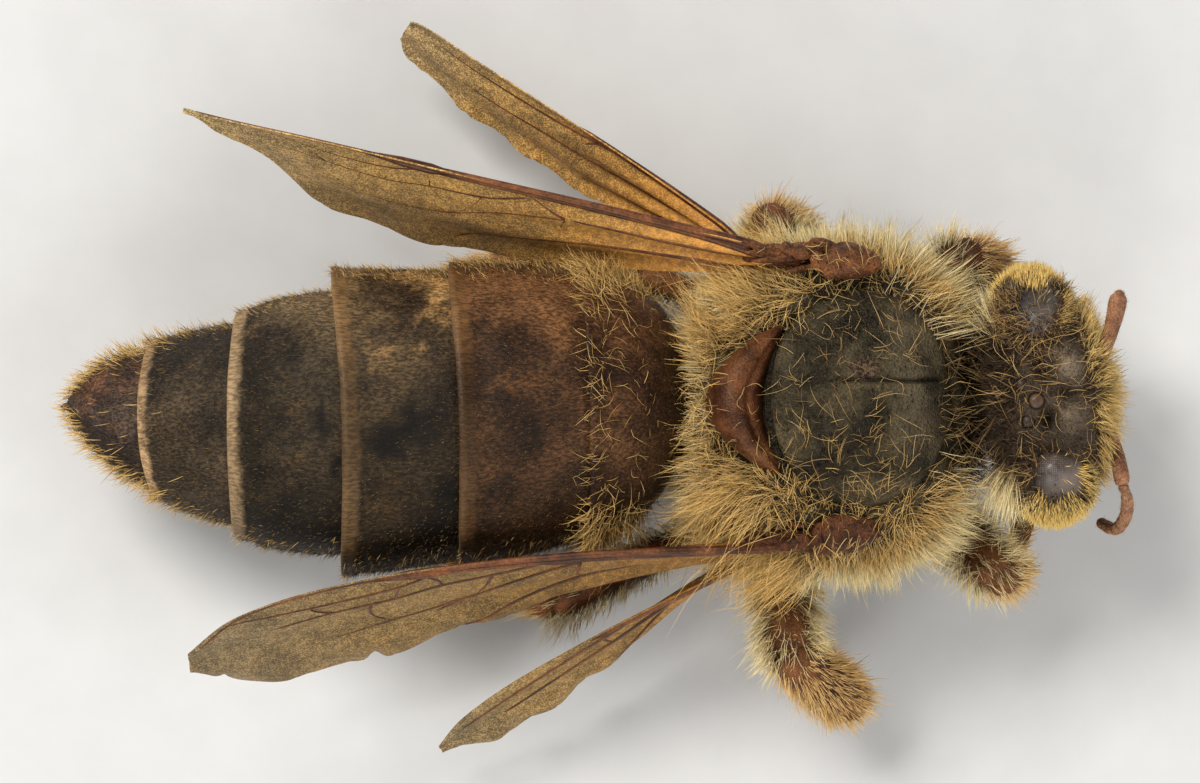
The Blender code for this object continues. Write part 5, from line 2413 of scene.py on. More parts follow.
        def rear(places: Array, out: Array) -> Array:
            """The cheeks, and thinly the back of the head.

            Args:
                places: Points, one a row.
                out: The skin's normals there.

            Returns:
                How thick the hair stands at each point.
            """
            own = self.own(places)
            side = 0.07 + 0.93 * step(0.70, 1.10, np.abs(own[:, 1]))
            return (
                clear(places)
                * (1 - step(-0.05, 0.35, out[:, 0]))
                * (1 - step(0.10, 0.42, out[:, 2]))
                * side
            )

        centre = np.array(self.centre)
        roots = sow(skin, 1000.0, pile, unwrap, rng)
        behind = self.own(roots.points)[:, 0]
        lie = (
            rng.normal(0, 1, roots.points.shape)
            + np.stack((np.where(behind < -0.3, -1.4, 0.8), 0 * behind, 0 * behind), 1)
        )
        deep = 1 + 0.9 * (1 - step(-0.75, -0.25, behind))
        kind = Hair(0.115, 0.012, lift=0.50, scatter=0.2, vary=0.4, steps=1)
        grow("coat_crown_velvet", roots, kind, lie, DUSK, rng, deep)
        roots = sow(skin, 84.0, hollow, unwrap, rng)
        lie = rng.normal(0, 1, roots.points.shape) + np.array((0.7, 0.0, 0.0))
        kind = Hair(
            0.34, 0.010, lift=0.30, scatter=0.30, curl=0.46, vary=0.4, steps=5, clump=0.4,
            clumps=len(lie) // 4,
        )
        grow("coat_crown", roots, kind, lie, BRONZE, rng)
        roots = sow(skin, 34.0, hollow, unwrap, rng)
        lie = rng.normal(0, 1, roots.points.shape)
        kind = Hair(
            0.52, 0.0105, lift=0.36, scatter=0.35, curl=0.55, vary=0.35, steps=7, clump=0.5,
            clumps=len(lie) // 3,
        )
        grow("coat_crown_wisps", roots, kind, lie, GOLD, rng)
        roots = sow(skin, 520.0, face, unwrap, rng)
        away = roots.points - centre
        lie = np.stack((0.7 + 0 * away[:, 0], 0.5 * away[:, 1], 0.35 * away[:, 2]), 1)
        kind = Hair(
            0.30, 0.011, lift=0.55, scatter=0.18, curl=0.14, vary=0.38, steps=3, clump=0.55,
            clumps=len(lie) // 7,
        )
        grow("coat_face", roots, kind, lie, FACE_DOWN, rng)
        roots = sow(skin, 680.0, rear, unwrap, rng)
        away = roots.points - centre
        lie = np.stack((0.1 - 0.8 * (away[:, 0] < -0.2), 0.8 * away[:, 1], -0.1 + 0.5 * away[:, 2]), 1)
        kind = Hair(
            0.36, 0.013, lift=0.50, scatter=0.16, curl=0.14, vary=0.3, steps=3, clump=0.6,
            clumps=len(lie) // 9,
        )
        behind = self.own(roots.points)
        longer = 1 + 0.85 * (1 - step(-0.75, -0.1, behind[:, 0])) * step(-0.6, 0.6, behind[:, 2])
        longer *= 1 + 0.30 * (1 - step(-0.9, -0.6, behind[:, 1])) * (1 - step(-0.35, 0.05, behind[:, 0]))
        middle = np.abs(behind[:, 1]) < 0.85
        for word, chosen, finish in (("cheeks", ~middle, CREAM), ("nape", middle, UMBER)):
            grow(f"coat_{word}", roots.pick(chosen), kind, lie[chosen], finish, rng, longer[chosen])

    def eye_fringe(self, eyes: Sequence[Piece], rng: np.random.Generator) -> None:
        """Grows the short amber pile on the outer half of each compound eye, and a thin down on the rest.

        Args:
            eyes: The two compound eyes.
            rng: The source of chance.
        """
        gathered, dim = [], []
        unwrap = round_unwrap(np.array(self.centre))

        def outer(places: Array, out: Array) -> Array:
            """The steep outer side, and hardly any on the crown's side.

            Args:
                places: Points, one a row.
                out: The eye's normals there.

            Returns:
                How thick the hair stands at each point.
            """
            own = self.own(places)
            outward = np.sign(own[:, 1]) * out[:, 1]
            least = np.where(own[:, 1] > 0, 0.76, 0.50)
            turned = step(0.0, 0.12, outward - least) * (1 - step(0.50, 0.70, out[:, 2]))
            below = (1 - step(-0.2, 0.3, out[:, 2])) * (outward > -0.3)
            ahead = 0.75 * step(0.78, 0.92, out[:, 0]) * (places[:, 2] > 2.9)
            return np.clip(0.02 + np.maximum(np.maximum(turned, ahead), 0.8 * below), 0, 1)

        def dark(places: Array, out: Array) -> Array:
            """The rear of the right dome, and all of the left one's top but a spot.

            Args:
                places: Points, one a row.
                out: The eye's normals there.

            Returns:
                How thick the hair stands at each point.
            """
            own = self.own(places)
            spot = np.hypot(own[:, 0] - 0.05, own[:, 1] - 1.42)
            bald = (
                np.hypot((own[:, 0] + 0.01) / 1.05, own[:, 1] + 1.16)
                + 0.05 * np.sin(9 * own[:, 0] + 7 * own[:, 1])
            )
            shown = np.where(own[:, 1] > 0, 0.03 + step(0.20, 0.36, spot), 0.01 + step(0.33, 0.46, bald))
            return np.clip(shown, 0, 1) * (out[:, 2] > 0.12) * (1 - step(1.60, 1.74, np.abs(own[:, 1])))

        def inner(places: Array, out: Array) -> Array:
            """The left dome's rear and inner part, where the crown's long hair goes on."""
            own = self.own(places)
            return (
                (own[:, 1] > 0)
                * (1 - step(1.35, 1.60, own[:, 1]))
                * (1 - step(0.1, 0.4, own[:, 0]))
                * (out[:, 2] > 0.2)
            )

        for eye in eyes:
            gathered.append(sow(eye, 860.0, outer, unwrap, rng))
            dim.append(sow(eye, 1250.0, dark, unwrap, rng))
        roots = Roots.gather(gathered)
        lie = np.stack(
            (0.1 + 0 * roots.points[:, 1], np.sign(self.own(roots.points)[:, 1]), 0 * roots.points[:, 1]), 1
        )
        kind = Hair(0.17, 0.014, lift=0.74, scatter=0.10, curl=0.05, vary=0.18, steps=2)
        grow("coat_eye_fringe", roots, kind, lie, AMBER, rng)
        roots = Roots.gather(dim)
        lie = rng.normal(0, 0.7, roots.points.shape) + np.array((-0.8, 0.0, 0.0))
        brown = rng.random(len(lie)) < 0.16 + 0.16 * (roots.points[:, 1] > 0)
        kind = Hair(0.17, 0.012, lift=0.52, scatter=0.22, curl=0.15, vary=0.35, steps=2)
        grow("coat_eye_velvet", roots.pick(~brown), kind, lie[~brown], DUSK, rng)
        kind = Hair(0.25, 0.010, lift=0.45, scatter=0.25, curl=0.30, vary=0.35, steps=3)
        grow("coat_eye_brown", roots.pick(brown), kind, lie[brown], BRONZE, rng)
        roots = sow(eyes[0], 75.0, inner, unwrap, rng)
        lie = rng.normal(0, 1, roots.points.shape)
        kind = Hair(
            0.46, 0.0105, lift=0.34, scatter=0.35, curl=0.55, vary=0.35, steps=6, clump=0.45,
            clumps=max(8, len(lie) // 3),
        )
        grow("coat_eye_wisps", roots, kind, lie, BRONZE, rng)

    def build(self, rng: np.random.Generator) -> None:
        """Makes the head.

        Args:
            rng: The source of chance.
        """
        skin = self.skin()
        self.coat(skin, rng)
        crown = self.own(points_of(skin))
        settle(skin, HEAD_SHELL, ("head",))
        eyes = [self.eye(side) for side in Side]
        self.eye_fringe(eyes, rng)
        for side, eye in zip(Side, eyes):
            settle(eye, Facets("compound_eye_facets"), (f"compound_eye_{side.word}",))
        for word, place in self.ocelli:
            # The side eyes take a darker copy of the lens: painted shade.
            look = Lens("ocellus_lens") if word == "middle" else Lens("ocellus_lens_dim", painted_light_scale=0.42)
            settle(self.simple_eye(np.array(place), word, crown), look, (f"ocellus_{word}",))
        for side in Side:
            settle(self.jaw(side), MOUTH_SHELL, (f"mandible_{side.word}",))
            scape, whip = self.antenna(side)
            self.fuzz(side, (scape, whip), rng)
            settle(scape, FEELER_SHELL, (f"scape_{side.word}",))
            settle(whip, FEELER_SHELL, (f"flagellum_{side.word}",))
        settle(self.mouth(), MOUTH_SHELL, ("proboscis",))

    def fuzz(self, side: Side, parts: Sequence[Piece], rng: np.random.Generator) -> None:
        """Grows the fine down of one antenna.

        Args:
            side: Which antenna.
            parts: The antenna's pieces.
            rng: The source of chance.
        """
        gathered = [
            sow(p, 640.0, lambda q, n: np.ones(len(q)), round_unwrap(points_of(p).mean(0)), rng)
            for p in parts
        ]
        roots = Roots.gather(gathered)
        lie = np.tile((0.2, 0.4 * side.value, -0.4), (len(roots.points), 1))
        kind = Hair(0.058, 0.008, lift=0.55, scatter=0.2, vary=0.35, steps=1)
        grow(f"coat_antenna_{side.word}", roots, kind, lie, GOLD, rng)


# ---------------------------------------------------------------- legs
@dataclass
class Leg:
    """One leg from hip to claws: hard spindles that meet at narrow joints, with hair that follows them."""

    pair: Pair
    side: Side
    joints: tuple
    femur: tuple = (0.34, 0.36)
    tibia: tuple = (0.30, 0.32)
    basitarsus: tuple = (0.17, 0.20)
    coxa: tuple = (0.36, 0.38)
    ankle_height: float = 0.27
    toe_height: float = 0.10

    def line(self) -> Array:
        """The joints, with the foot let down so that it stands on its claws.

        Returns:
            The joints, one a row.
        """
        joints = np.array(self.joints, float)
        joints[4, 2] = self.ankle_height
        joints[5, 2] = self.toe_height
        return joints

    def spindle(
        self,
        name: str,
        start: Array,
        end: Array,
        profile: Sequence[tuple[float, float]],
        size: tuple,
        bow: float = 0.0,
    ) -> Piece:
        """One part of the leg between two joints."""
        middle = (start + end) / 2 + np.array((0.0, 0.0, bow))
        return limb(name, np.array((start, middle, end)), profile, size[0], size[1], 14)

    def build(self, rng: np.random.Generator) -> None:
        """Makes the leg and its hair.

        Args:
            rng: The source of chance.
        """
        j = self.line()
        word = f"{self.pair.value}_{self.side.word}"
        stout = ((0.0, 0.55), (0.08, 0.85), (0.3, 1.0), (0.7, 0.9), (0.92, 0.66), (1.0, 0.4))
        thigh = ((0.0, 0.40), (0.06, 0.62), (0.25, 0.90), (0.55, 1.0), (0.82, 1.0), (0.95, 0.90), (1.0, 0.60))
        shin = ((0.0, 0.55), (0.05, 0.84), (0.15, 0.90), (0.45, 1.0), (0.8, 1.0), (0.95, 0.86), (1.0, 0.5))
        sole = ((0.0, 0.4), (0.05, 0.72), (0.2, 1.0), (0.75, 1.0), (0.95, 0.85), (1.0, 0.5))
        toe = ((0.0, 0.45), (0.12, 0.72), (0.5, 0.88), (0.85, 1.0), (0.97, 0.8), (1.0, 0.45))
        hip = j[1] + (j[0] - j[1]) * 0.10
        parts = [
            self.spindle("coxa", j[0], hip, stout, self.coxa),
            self.spindle(
                "trochanter", hip + (j[0] - hip) * 0.12, j[1] + (j[2] - j[1]) * 0.14, stout,
                (self.femur[0] * 0.72, self.femur[1] * 0.72),
            ),
            self.spindle("femur", j[1] + (j[2] - j[1]) * 0.06, j[2], thigh, self.femur, 0.05),
            self.spindle("tibia", j[2] + (j[2] - j[3]) * 0.03, j[3], shin, self.tibia, 0.04),
            self.spindle("basitarsus", j[3], j[4], sole, self.basitarsus, 0.0),
        ]
        steps = (0.0, 0.20, 0.38, 0.56, 1.0)
        for k in range(4):
            a, b = j[4] + (j[5] - j[4]) * steps[k], j[4] + (j[5] - j[4]) * steps[k + 1]
            slim = (0.105, 0.095, 0.090, 0.075)[k]
            parts.append(self.spindle(f"toe_{k}", a - (b - a) * 0.08, b, toe, (slim, slim * 1.05), 0.0))
        spur = j[3] + (j[4] - j[3]) * 0.22 + np.array((0.0, 0.0, -0.12))
        parts.append(
            limb(
                "spur", np.array((j[3], (j[3] + spur) / 2 + np.array((0.03, 0, 0)), spur)),
                ((0, 1), (0.5, 0.7), (1, 0.15)), 0.035, 0.035, 8,
            )
        )
        leg = join(f"leg_{word}", parts)
        refine(leg, 1)
        places, out = points_of(leg), normals_of(leg)
        put_points(leg, places + out * (0.012 * ripple(places, 1.3, 80))[:, None])
        self.coat(leg, j, word, rng)
        nodes = [
            f"{self.pair.value}_{part}_{self.side.word}"
            for part in ("coxa", "femur", "tibia", "basitarsus", "tarsus")
        ]
        # The hind legs take the lighter copy: painted light.
        settle(leg, HIND_LEG_PAINTED_LIGHT_SHELL if self.pair is Pair.HIND else LEG_SHELL, nodes)
        settle(self.claws(j, word), CLAW_SHELL)

    def claws(self, j: Array, word: str) -> Piece:
        """Two hooked claws, each with an inner tooth, and the soft pad between them.

        Args:
            j: The leg's joints, one a row.
            word: The leg's word, which ends the piece's name.

        Returns:
            The finished piece.
        """
        ahead = unit(j[5] - j[4])
        flat = unit(ahead * np.array((1, 1, 0)))
        aside = np.array((-flat[1], flat[0], 0.0))
        tip = j[5] - ahead * 0.03
        parts = []
        taper = ((0, 0.8), (0.15, 1.0), (0.5, 0.75), (0.8, 0.45), (1, 0.10))
        for s in (1, -1):
            bend = tip + flat * 0.10 + aside * 0.09 * s + np.array((0, 0, 0.02))
            end = tip + flat * 0.15 + aside * 0.17 * s
            end[2] = 0.018
            parts.append(limb(f"hook_{s}", np.array((tip, bend, end)), taper, 0.032, 0.036, 10))
            tooth = tip + flat * 0.10 + aside * 0.05 * s
            tooth[2] = 0.022
            parts.append(
                limb(
                    f"tooth_{s}",
                    np.array((tip + aside * 0.02 * s, (tip + tooth) / 2 + aside * 0.02 * s, tooth)), taper,
                    0.02, 0.024, 8,
                )
            )
        pad = ball("pad", tip + flat * 0.07 + np.array((0, 0, -0.02)), np.array((0.06, 0.06, 0.05)), detail=8)
        parts.append(pad)
        piece = join(f"claws_{word}", parts)
        refine(piece, 1)
        low = points_of(piece)
        low[:, 2] = np.maximum(low[:, 2], LOWEST)
        put_points(piece, low)
        return piece

    def coat(self, leg: Piece, j: Array, word: str, rng: np.random.Generator) -> None:
        """Grows the leg's hair: long on the thigh and shin, short on the foot, thin over the bare knee.

        Args:
            leg: The leg's piece.
            j: The leg's joints, one a row.
            word: The leg's word, which ends the coat's name.
            rng: The source of chance.
        """
        lengths = np.r_[0.0, np.cumsum(np.linalg.norm(np.diff(j, axis=0), axis=1))]
        side = -self.side.value

        def along(places: Array) -> tuple[Array, Array, Array]:
            """How far down the leg each place lies, which part it is on and that part's direction.

            Args:
                places: Points, one a row.

            Returns:
                The share of the leg's length, the part's number and its direction, for each point.
            """
            best = np.full(len(places), 1e9)
            share = np.zeros(len(places))
            part = np.zeros(len(places), int)
            for k in range(5):
                edge = j[k + 1] - j[k]
                t = np.clip(((places - j[k]) @ edge) / (edge @ edge), 0, 1)
                gap = np.linalg.norm(places - (j[k] + t[:, None] * edge), axis=1)
                better = gap < best
                best[better], part[better] = gap[better], k
                share[better] = ((lengths[k] + t * (lengths[k + 1] - lengths[k])) / lengths[-1])[better]
            return share, part, unit(np.diff(j, axis=0))[part]

        def unwrap(places: Array) -> Array:
            """Down the leg, and round it.

            Args:
                places: Points, one a row.

            Returns:
                The two shares of each point.
            """
            share, part, ahead = along(places)
            away = places - j[part]
            turn = np.arctan2(away[:, 2], np.sum(away * np.cross(ahead, (0, 0, 1.0)), axis=1))
            return np.stack((share, turn / (2 * math.pi) + 0.5), 1) * 0.99

        def thigh(places: Array, out: Array) -> Array:
            """How thick the long hair stands: full on the flanks of hip and thigh, thin along the top.

            Args:
                places: Points, one a row.
                out: The leg's normals there.

            Returns:
                How thick the hair stands at each point.
            """
            _, part, _ = along(places)
            knee = bell(np.linalg.norm(places - j[2], axis=1), 0.0, 0.45) * step(0.45, 0.8, out[:, 2])
            full = np.array((0.55, 1.0, 0.0, 0.0, 0.0))[part]
            return full * (1 - 0.78 * step(0.55, 0.85, out[:, 2])) * (1 - 0.7 * knee)

        def shin(places: Array, out: Array) -> Array:
            """How thick the short brush stands, from the knee to the toes.

            Args:
                places: Points, one a row.
                out: The leg's normals there.

            Returns:
                How thick the hair stands at each point.
            """
            _, part, _ = along(places)
            knee = bell(np.linalg.norm(places - j[2], axis=1), 0.0, 0.42) * step(0.55, 0.85, out[:, 2])
            full = np.array((0.0, 0.0, 1.0, 0.9, 0.5))[part]
            return full * (1 - 0.8 * knee)

        roots = sow(leg, 420.0, thigh, unwrap, rng)
        _, part, ahead = along(roots.points)
        down = unit(ahead + np.array((0.0, 0.0, -0.25)))
        kind = Hair(
            0.42, 0.012, lift=0.56, scatter=0.16, curl=0.12, droop=0.05, vary=0.30, steps=3, clump=0.6,
            clumps=max(20, len(part) // 9),
        )
        size = np.array((0.8, 1.0, 1.0, 1.0, 1.0))[part] * (0.70 if self.pair is Pair.HIND else 1.12)
        if self.pair is Pair.HIND:
            size *= (
                1
                + 0.7 * bell(np.linalg.norm(roots.points - j[2], axis=1), 0.35, 0.40) * step(
                    -0.2, 0.4, -side * roots.normals[:, 1]
                )
            )
        grow(f"coat_thigh_{word}", roots, kind, down, CREAM, rng, size)
        roots = sow(leg, 440.0, shin, unwrap, rng)
        _, part, ahead = along(roots.points)
        down = unit(ahead + np.array((0.0, 0.0, -0.15)))
        size = np.array((1.0, 1.0, 1.0, 0.55, 0.36))[part] * np.where(rng.random(len(part)) < 0.10, 1.6, 1.0)
        size *= 0.9 if self.pair is Pair.HIND else 1.30
        size *= 0.40 + 0.60 * (1 - step(0.25, 0.85, roots.normals[:, 2]))
        kind = Hair(
            0.27, 0.012, lift=0.36, scatter=0.10, curl=0.08, droop=0.02, vary=0.28, steps=3, clump=0.40,
            clumps=max(20, len(part) // 8),
        )
        grow(f"coat_shin_{word}", roots, kind, down, RUSSET, rng, size)


# ---------------------------------------------------------------- wings
@dataclass
class Wing:
    """One wing: a thin, pleated membrane hung from the trunk, with raised veins."""

    pair: Pair
    side: Side
    length: float
    plan: tuple
    root: tuple
    heading: float
    dip: float
    hang: tuple
    bow: float
    veins: tuple
    # The brightness this wing is painted with: painted light above one, painted shade below.
    painted_light_scale: float = 1.0
    thickness: float = 0.022

    def carry(self, share: Array, behind: Array, rise: Array) -> Array:
        """Takes a place on the flat wing to where the wing hangs.

        Args:
            share: How far out from the root, the tip being one.
            behind: How far behind the root's line, in millimetres.
            rise: How far above the membrane.

        Returns:
            The places, one a row.
        """
        side = self.side.value
        head, dip = math.radians(self.heading), math.radians(self.dip)
        along = np.array((-math.cos(head), side * math.sin(head), 0.0))
        outwards = np.array((math.sin(head), side * math.cos(head), 0.0))
        a, b, c = self.hang
        steep = np.radians(
            a * (1 - share) * (1 - 2 * share) + 4 * b * share * (1 - share) + c * share * (2 * share - 1)
        )
        chord = outwards * -np.cos(steep)[:, None] + np.array((0, 0, -1.0)) * np.sin(steep)[:, None]
        line = along * math.cos(dip) + np.array((0.0, 0.0, -math.sin(dip)))
        above = np.cross(chord, line) * side
        return (
            np.array(self.root) + line * (share * self.length)[:, None] + outwards * (
                self.bow * share**2
            )[:, None]
            + chord * behind[:, None] + above * rise[:, None]
        )

    def chord(self, share: Array) -> tuple[Array, Array]:
        """The front and back edge of the flat wing at a share of its length.

        Args:
            share: Shares of the wing's length.

        Returns:
            The front edge and the back edge.
        """
        table = np.array(self.plan)
        edges = curve_through(table[:, 0], table[:, 1:], share)
        return edges[:, 0], edges[:, 1]

    def pleats(self, share: Array, depth: Array) -> Array:
        """The wing's long folds, deepest near its root, and the ripple of its hind edge.

        Args:
            share: Shares of the wing's length.
            depth: Shares of the wing's width, from its front edge.

        Returns:
            The height of the folds.
        """
        near = bell(share, 0.0, 0.45)
        folds = (
            0.075 * near * np.sin(depth * 5.2 * math.pi + 0.6)
            + 0.03 * np.sin(depth * 3.1 * math.pi) * (1 - near)
        )
        frill = 0.05 * np.sin(share * 34.0 + 4 * depth) * step(0.6, 1.0, depth) * step(0.25, 0.6, share)
        return (folds + frill) * step(0.0, 0.08, share)

    def membrane(self) -> Piece:
        """The membrane: a grid laid on the wing's plan, hung, and given its small thickness.

        Returns:
            The finished piece.
        """
        clear_choice()
        bpy.ops.mesh.primitive_grid_add(x_subdivisions=150, y_subdivisions=36, size=2.0, location=(0, 0, 0))
        piece = bpy.context.object
        piece.name = f"{self.pair.value}wing_membrane_{self.side.word}"
        flat = points_of(piece)
        share, depth = (flat[:, 0] + 1) / 2, (flat[:, 1] + 1) / 2
        front, back = self.chord(share)
        nick = self.nicks(share)
        back = back - nick * step(0.75, 1.0, depth)
        places = self.carry(share, front + (back - front) * depth, self.pleats(share, depth))
        put_points(piece, places)
        mark(piece, "span", share)
        apply(piece, "SOLIDIFY", thickness=self.thickness, offset=0.0)
        choose(piece)
        bpy.ops.object.mode_set(mode="EDIT")
        bpy.ops.mesh.select_all(action="SELECT")
        bpy.ops.mesh.normals_make_consistent(inside=False)
        bpy.ops.object.mode_set(mode="OBJECT")
        return piece

    def nicks(self, share: Array) -> Array:
        """The notches that wear has left in the hind edge.

        Args:
            share: Shares of the wing's length.

        Returns:
            How deep the edge is notched there.
        """
        rng = np.random.default_rng(7 if self.side is Side.LEFT else 9)
        total = np.zeros(len(share))
        for _ in range(16):
            total += rng.uniform(0.01, 0.06) * bell(share, rng.uniform(0.35, 1.0), rng.uniform(0.004, 0.014))
        if self.pair is Pair.FORE and self.side is Side.RIGHT:
            total += 0.30 * bell(share, 0.70, 0.012)
        return total

    def vein(self, name: str, marks: Sequence[tuple[float, float]], size: float) -> Piece:
        """One raised vein laid on the membrane, tapering outwards.

        Args:
            name: The piece's name.
            marks: Shares of the wing's length and width that it runs through.
            size: Half of its height at its thickest.

        Returns:
            The finished piece.
        """
        table = np.array(marks)
        count = max(6, int(30 * abs(table[-1, 0] - table[0, 0])) + 4)
        spans = np.r_[0.0, np.cumsum(np.hypot(*np.diff(table, axis=0).T))]
        at = np.linspace(0, spans[-1], count)
        share, depth = (
            curve_through(spans, table, at).T
            if len(table) > 2
            else np.array([np.interp(at, spans, c) for c in table.T])
        )
        share, depth = np.clip(share, 0, 1), np.clip(depth, 0, 1)
        front, back = self.chord(share)
        route = self.carry(share, front + (back - front) * depth, self.pleats(share, depth) + 0.008)
        short = table[-1, 0] - table[0, 0] < 0.2 and size > 0.05
        taper = [(k / (count - 1), 1.0 - 0.45 * k / (count - 1)) for k in range(count)]
        start = [(0.0, 0.2), (0.3, 1.0), (0.6, 0.9)] if short else [(0.0, 0.5), (0.01, 1.0), *taper[1:-1]]
        return limb(name, route, [*start, (1.0, 0.25)], size * 1.4, size, 8)

    def build(self) -> None:
        """Makes the wing."""
        skin = self.membrane()
        parts = [self.vein(f"vein_{k}", marks, size) for k, (size, marks) in enumerate(self.veins)]
        word = self.side.word
        look = Membrane(f"wing_membrane_{self.pair.value}_{word}", painted_light_scale=self.painted_light_scale)
        settle(skin, look, (f"{self.pair.value}wing_{word}",), bent=50.0)
        veins = join(f"{self.pair.value}wing_veins_{word}", parts)
        settle(veins, VEIN_SHELL)


FORE_PLAN = (
    (0, 0, 0.42), (0.10, -0.02, 0.86), (0.20, -0.03, 1.30), (0.32, -0.04, 1.78), (0.45, -0.02, 2.28), (
        0.57, 0.02, 2.66
    ),
    (0.68, 0.10, 2.94), (0.78, 0.24, 3.02), (0.87, 0.48, 2.92), (0.94, 0.84, 2.64), (1, 1.50, 2.10),
)
HIND_PLAN = (
    (0, 0, 0.34), (0.14, -0.02, 0.86), (0.28, -0.02, 1.36), (0.42, 0.02, 1.72), (0.56, 0.10, 1.74), (
        0.70, 0.18, 1.76
    ),
    (0.83, 0.34, 1.66), (0.93, 0.58, 1.42), (1, 0.92, 1.18),
)
TORN_PLAN = (
    *FORE_PLAN[:6], (0.68, 0.06, 2.86), (0.76, 0.12, 2.72), (0.82, 0.20, 2.20), (0.87, 0.30, 1.70), (
        0.915, 0.40, 1.30
    ),
    (0.95, 0.50, 1.00), (0.965, 0.55, 0.78), (1, 0.62, 0.72),
)
BLUNT_PLAN = (*HIND_PLAN[:6], (0.83, 0.26, 1.62), (0.93, 0.30, 1.36), (0.98, 0.36, 1.20), (1, 0.44, 1.08))
FORE_VEINS = (
    (0.052, ((0.0, 0.06), (0.2, 0.02), (0.45, 0.01), (0.62, 0.012))),
    (0.060, ((0.0, 0.22), (0.15, 0.10), (0.35, 0.06), (0.5, 0.05), (0.62, 0.04))),
    (0.058, ((0.54, 0.03), (0.60, 0.03), (0.66, 0.02), (0.70, 0.015))),
    (0.022, ((0.62, 0.01), (0.8, 0.012), (0.92, 0.02), (0.98, 0.1))),
    (0.042, ((0.0, 0.45), (0.12, 0.30), (0.25, 0.26), (0.36, 0.26))),
    (0.030, ((0.36, 0.26), (0.40, 0.16), (0.43, 0.07))),
    (0.026, ((0.43, 0.12), (0.50, 0.22), (0.585, 0.24), (0.66, 0.30), (0.76, 0.30), (0.86, 0.33))),
    (0.024, ((0.60, 0.05), (0.66, 0.15), (0.76, 0.17), (0.86, 0.13), (0.93, 0.04))),
    (0.022, ((0.585, 0.24), (0.59, 0.14), (0.61, 0.07))),
    (0.022, ((0.66, 0.30), (0.655, 0.20), (0.65, 0.13))),
    (0.022, ((0.76, 0.30), (0.79, 0.22), (0.80, 0.16))),
    (0.026, ((0.36, 0.27), (0.44, 0.36), (0.53, 0.50), (0.60, 0.62))),
    (0.022, ((0.50, 0.22), (0.51, 0.35), (0.53, 0.50))),
    (0.022, ((0.70, 0.30), (0.70, 0.45), (0.67, 0.58))),
    (0.022, ((0.53, 0.50), (0.60, 0.56), (0.67, 0.58), (0.76, 0.62))),
    (0.034, ((0.0, 0.78), (0.14, 0.62), (0.30, 0.60), (0.46, 0.74), (0.55, 0.93))),
    (0.024, ((0.36, 0.28), (0.365, 0.45), (0.36, 0.62))),
)
HIND_VEINS = (
    (0.044, ((0.0, 0.10), (0.2, 0.05), (0.4, 0.03), (0.5, 0.02))),
    (0.030, ((0.40, 0.04), (0.55, 0.14), (0.75, 0.2), (0.92, 0.22))),
    (0.034, ((0.0, 0.42), (0.15, 0.36), (0.35, 0.38), (0.55, 0.44), (0.8, 0.52))),
    (0.024, ((0.44, 0.08), (0.47, 0.24), (0.45, 0.41))),
    (0.026, ((0.0, 0.7), (0.15, 0.66), (0.34, 0.72), (0.46, 0.86))),
    (0.020, ((0.18, 0.38), (0.22, 0.52), (0.24, 0.68))),
)
LEGS = (
    Leg(
        Pair.FORE, Side.LEFT,
        (
            (5.00, 0.65, 2.00), (5.02, 1.22, 1.60), (5.62, 2.12, 2.84), (6.20, 1.94, 1.40),
            (6.54, 1.58, 0.44), (7.10, 0.88, 0.22),
        ),
        (0.36, 0.38), (0.34, 0.36), (0.17, 0.19), (0.34, 0.34),
    ),
    Leg(
        Pair.FORE, Side.RIGHT,
        (
            (5.00, -1.10, 2.00), (5.24, -1.70, 1.66), (6.20, -2.88, 2.64), (6.42, -2.72, 1.12),
            (6.78, -1.92, 0.44), (7.06, -0.94, 0.22),
        ),
        (0.36, 0.38), (0.34, 0.36), (0.17, 0.19), (0.34, 0.34),
    ),
    Leg(
        Pair.MID, Side.LEFT,
        (
            (3.40, 0.85, 1.70), (3.00, 1.52, 1.50), (2.64, 2.60, 2.95), (3.04, 2.40, 0.98),
            (3.02, 1.40, 0.40), (2.88, 0.44, 0.22),
        ),
        (0.38, 0.42), (0.42, 0.44), (0.20, 0.22), (0.34, 0.36),
    ),
    Leg(
        Pair.MID, Side.RIGHT,
        (
            (3.40, -1.35, 1.70), (2.80, -2.16, 1.70), (2.94, -4.04, 3.00), (4.00, -4.90, 1.24),
            (3.44, -4.10, 0.42), (2.70, -3.20, 0.22),
        ),
        (0.38, 0.42), (0.43, 0.45), (0.20, 0.22), (0.34, 0.36),
    ),
    Leg(
        Pair.HIND, Side.LEFT,
        (
            (2.30, 0.75, 1.80), (1.72, 1.50, 1.52), (-0.52, 2.14, 1.72), (-2.60, 1.66, 0.84),
            (-3.95, 1.24, 0.42), (-4.80, 0.80, 0.22),
        ),
        (0.28, 0.33), (0.27, 0.36), (0.15, 0.28), (0.36, 0.38),
    ),
    Leg(
        Pair.HIND, Side.RIGHT,
        (
            (2.30, -1.20, 1.80), (1.66, -2.10, 1.60), (-0.72, -3.34, 1.84), (-2.55, -2.24, 0.86),
            (-3.95, -1.80, 0.42), (-4.85, -1.36, 0.22),
        ),
        (0.30, 0.35), (0.29, 0.36), (0.15, 0.28), (0.36, 0.38),
    ),
)
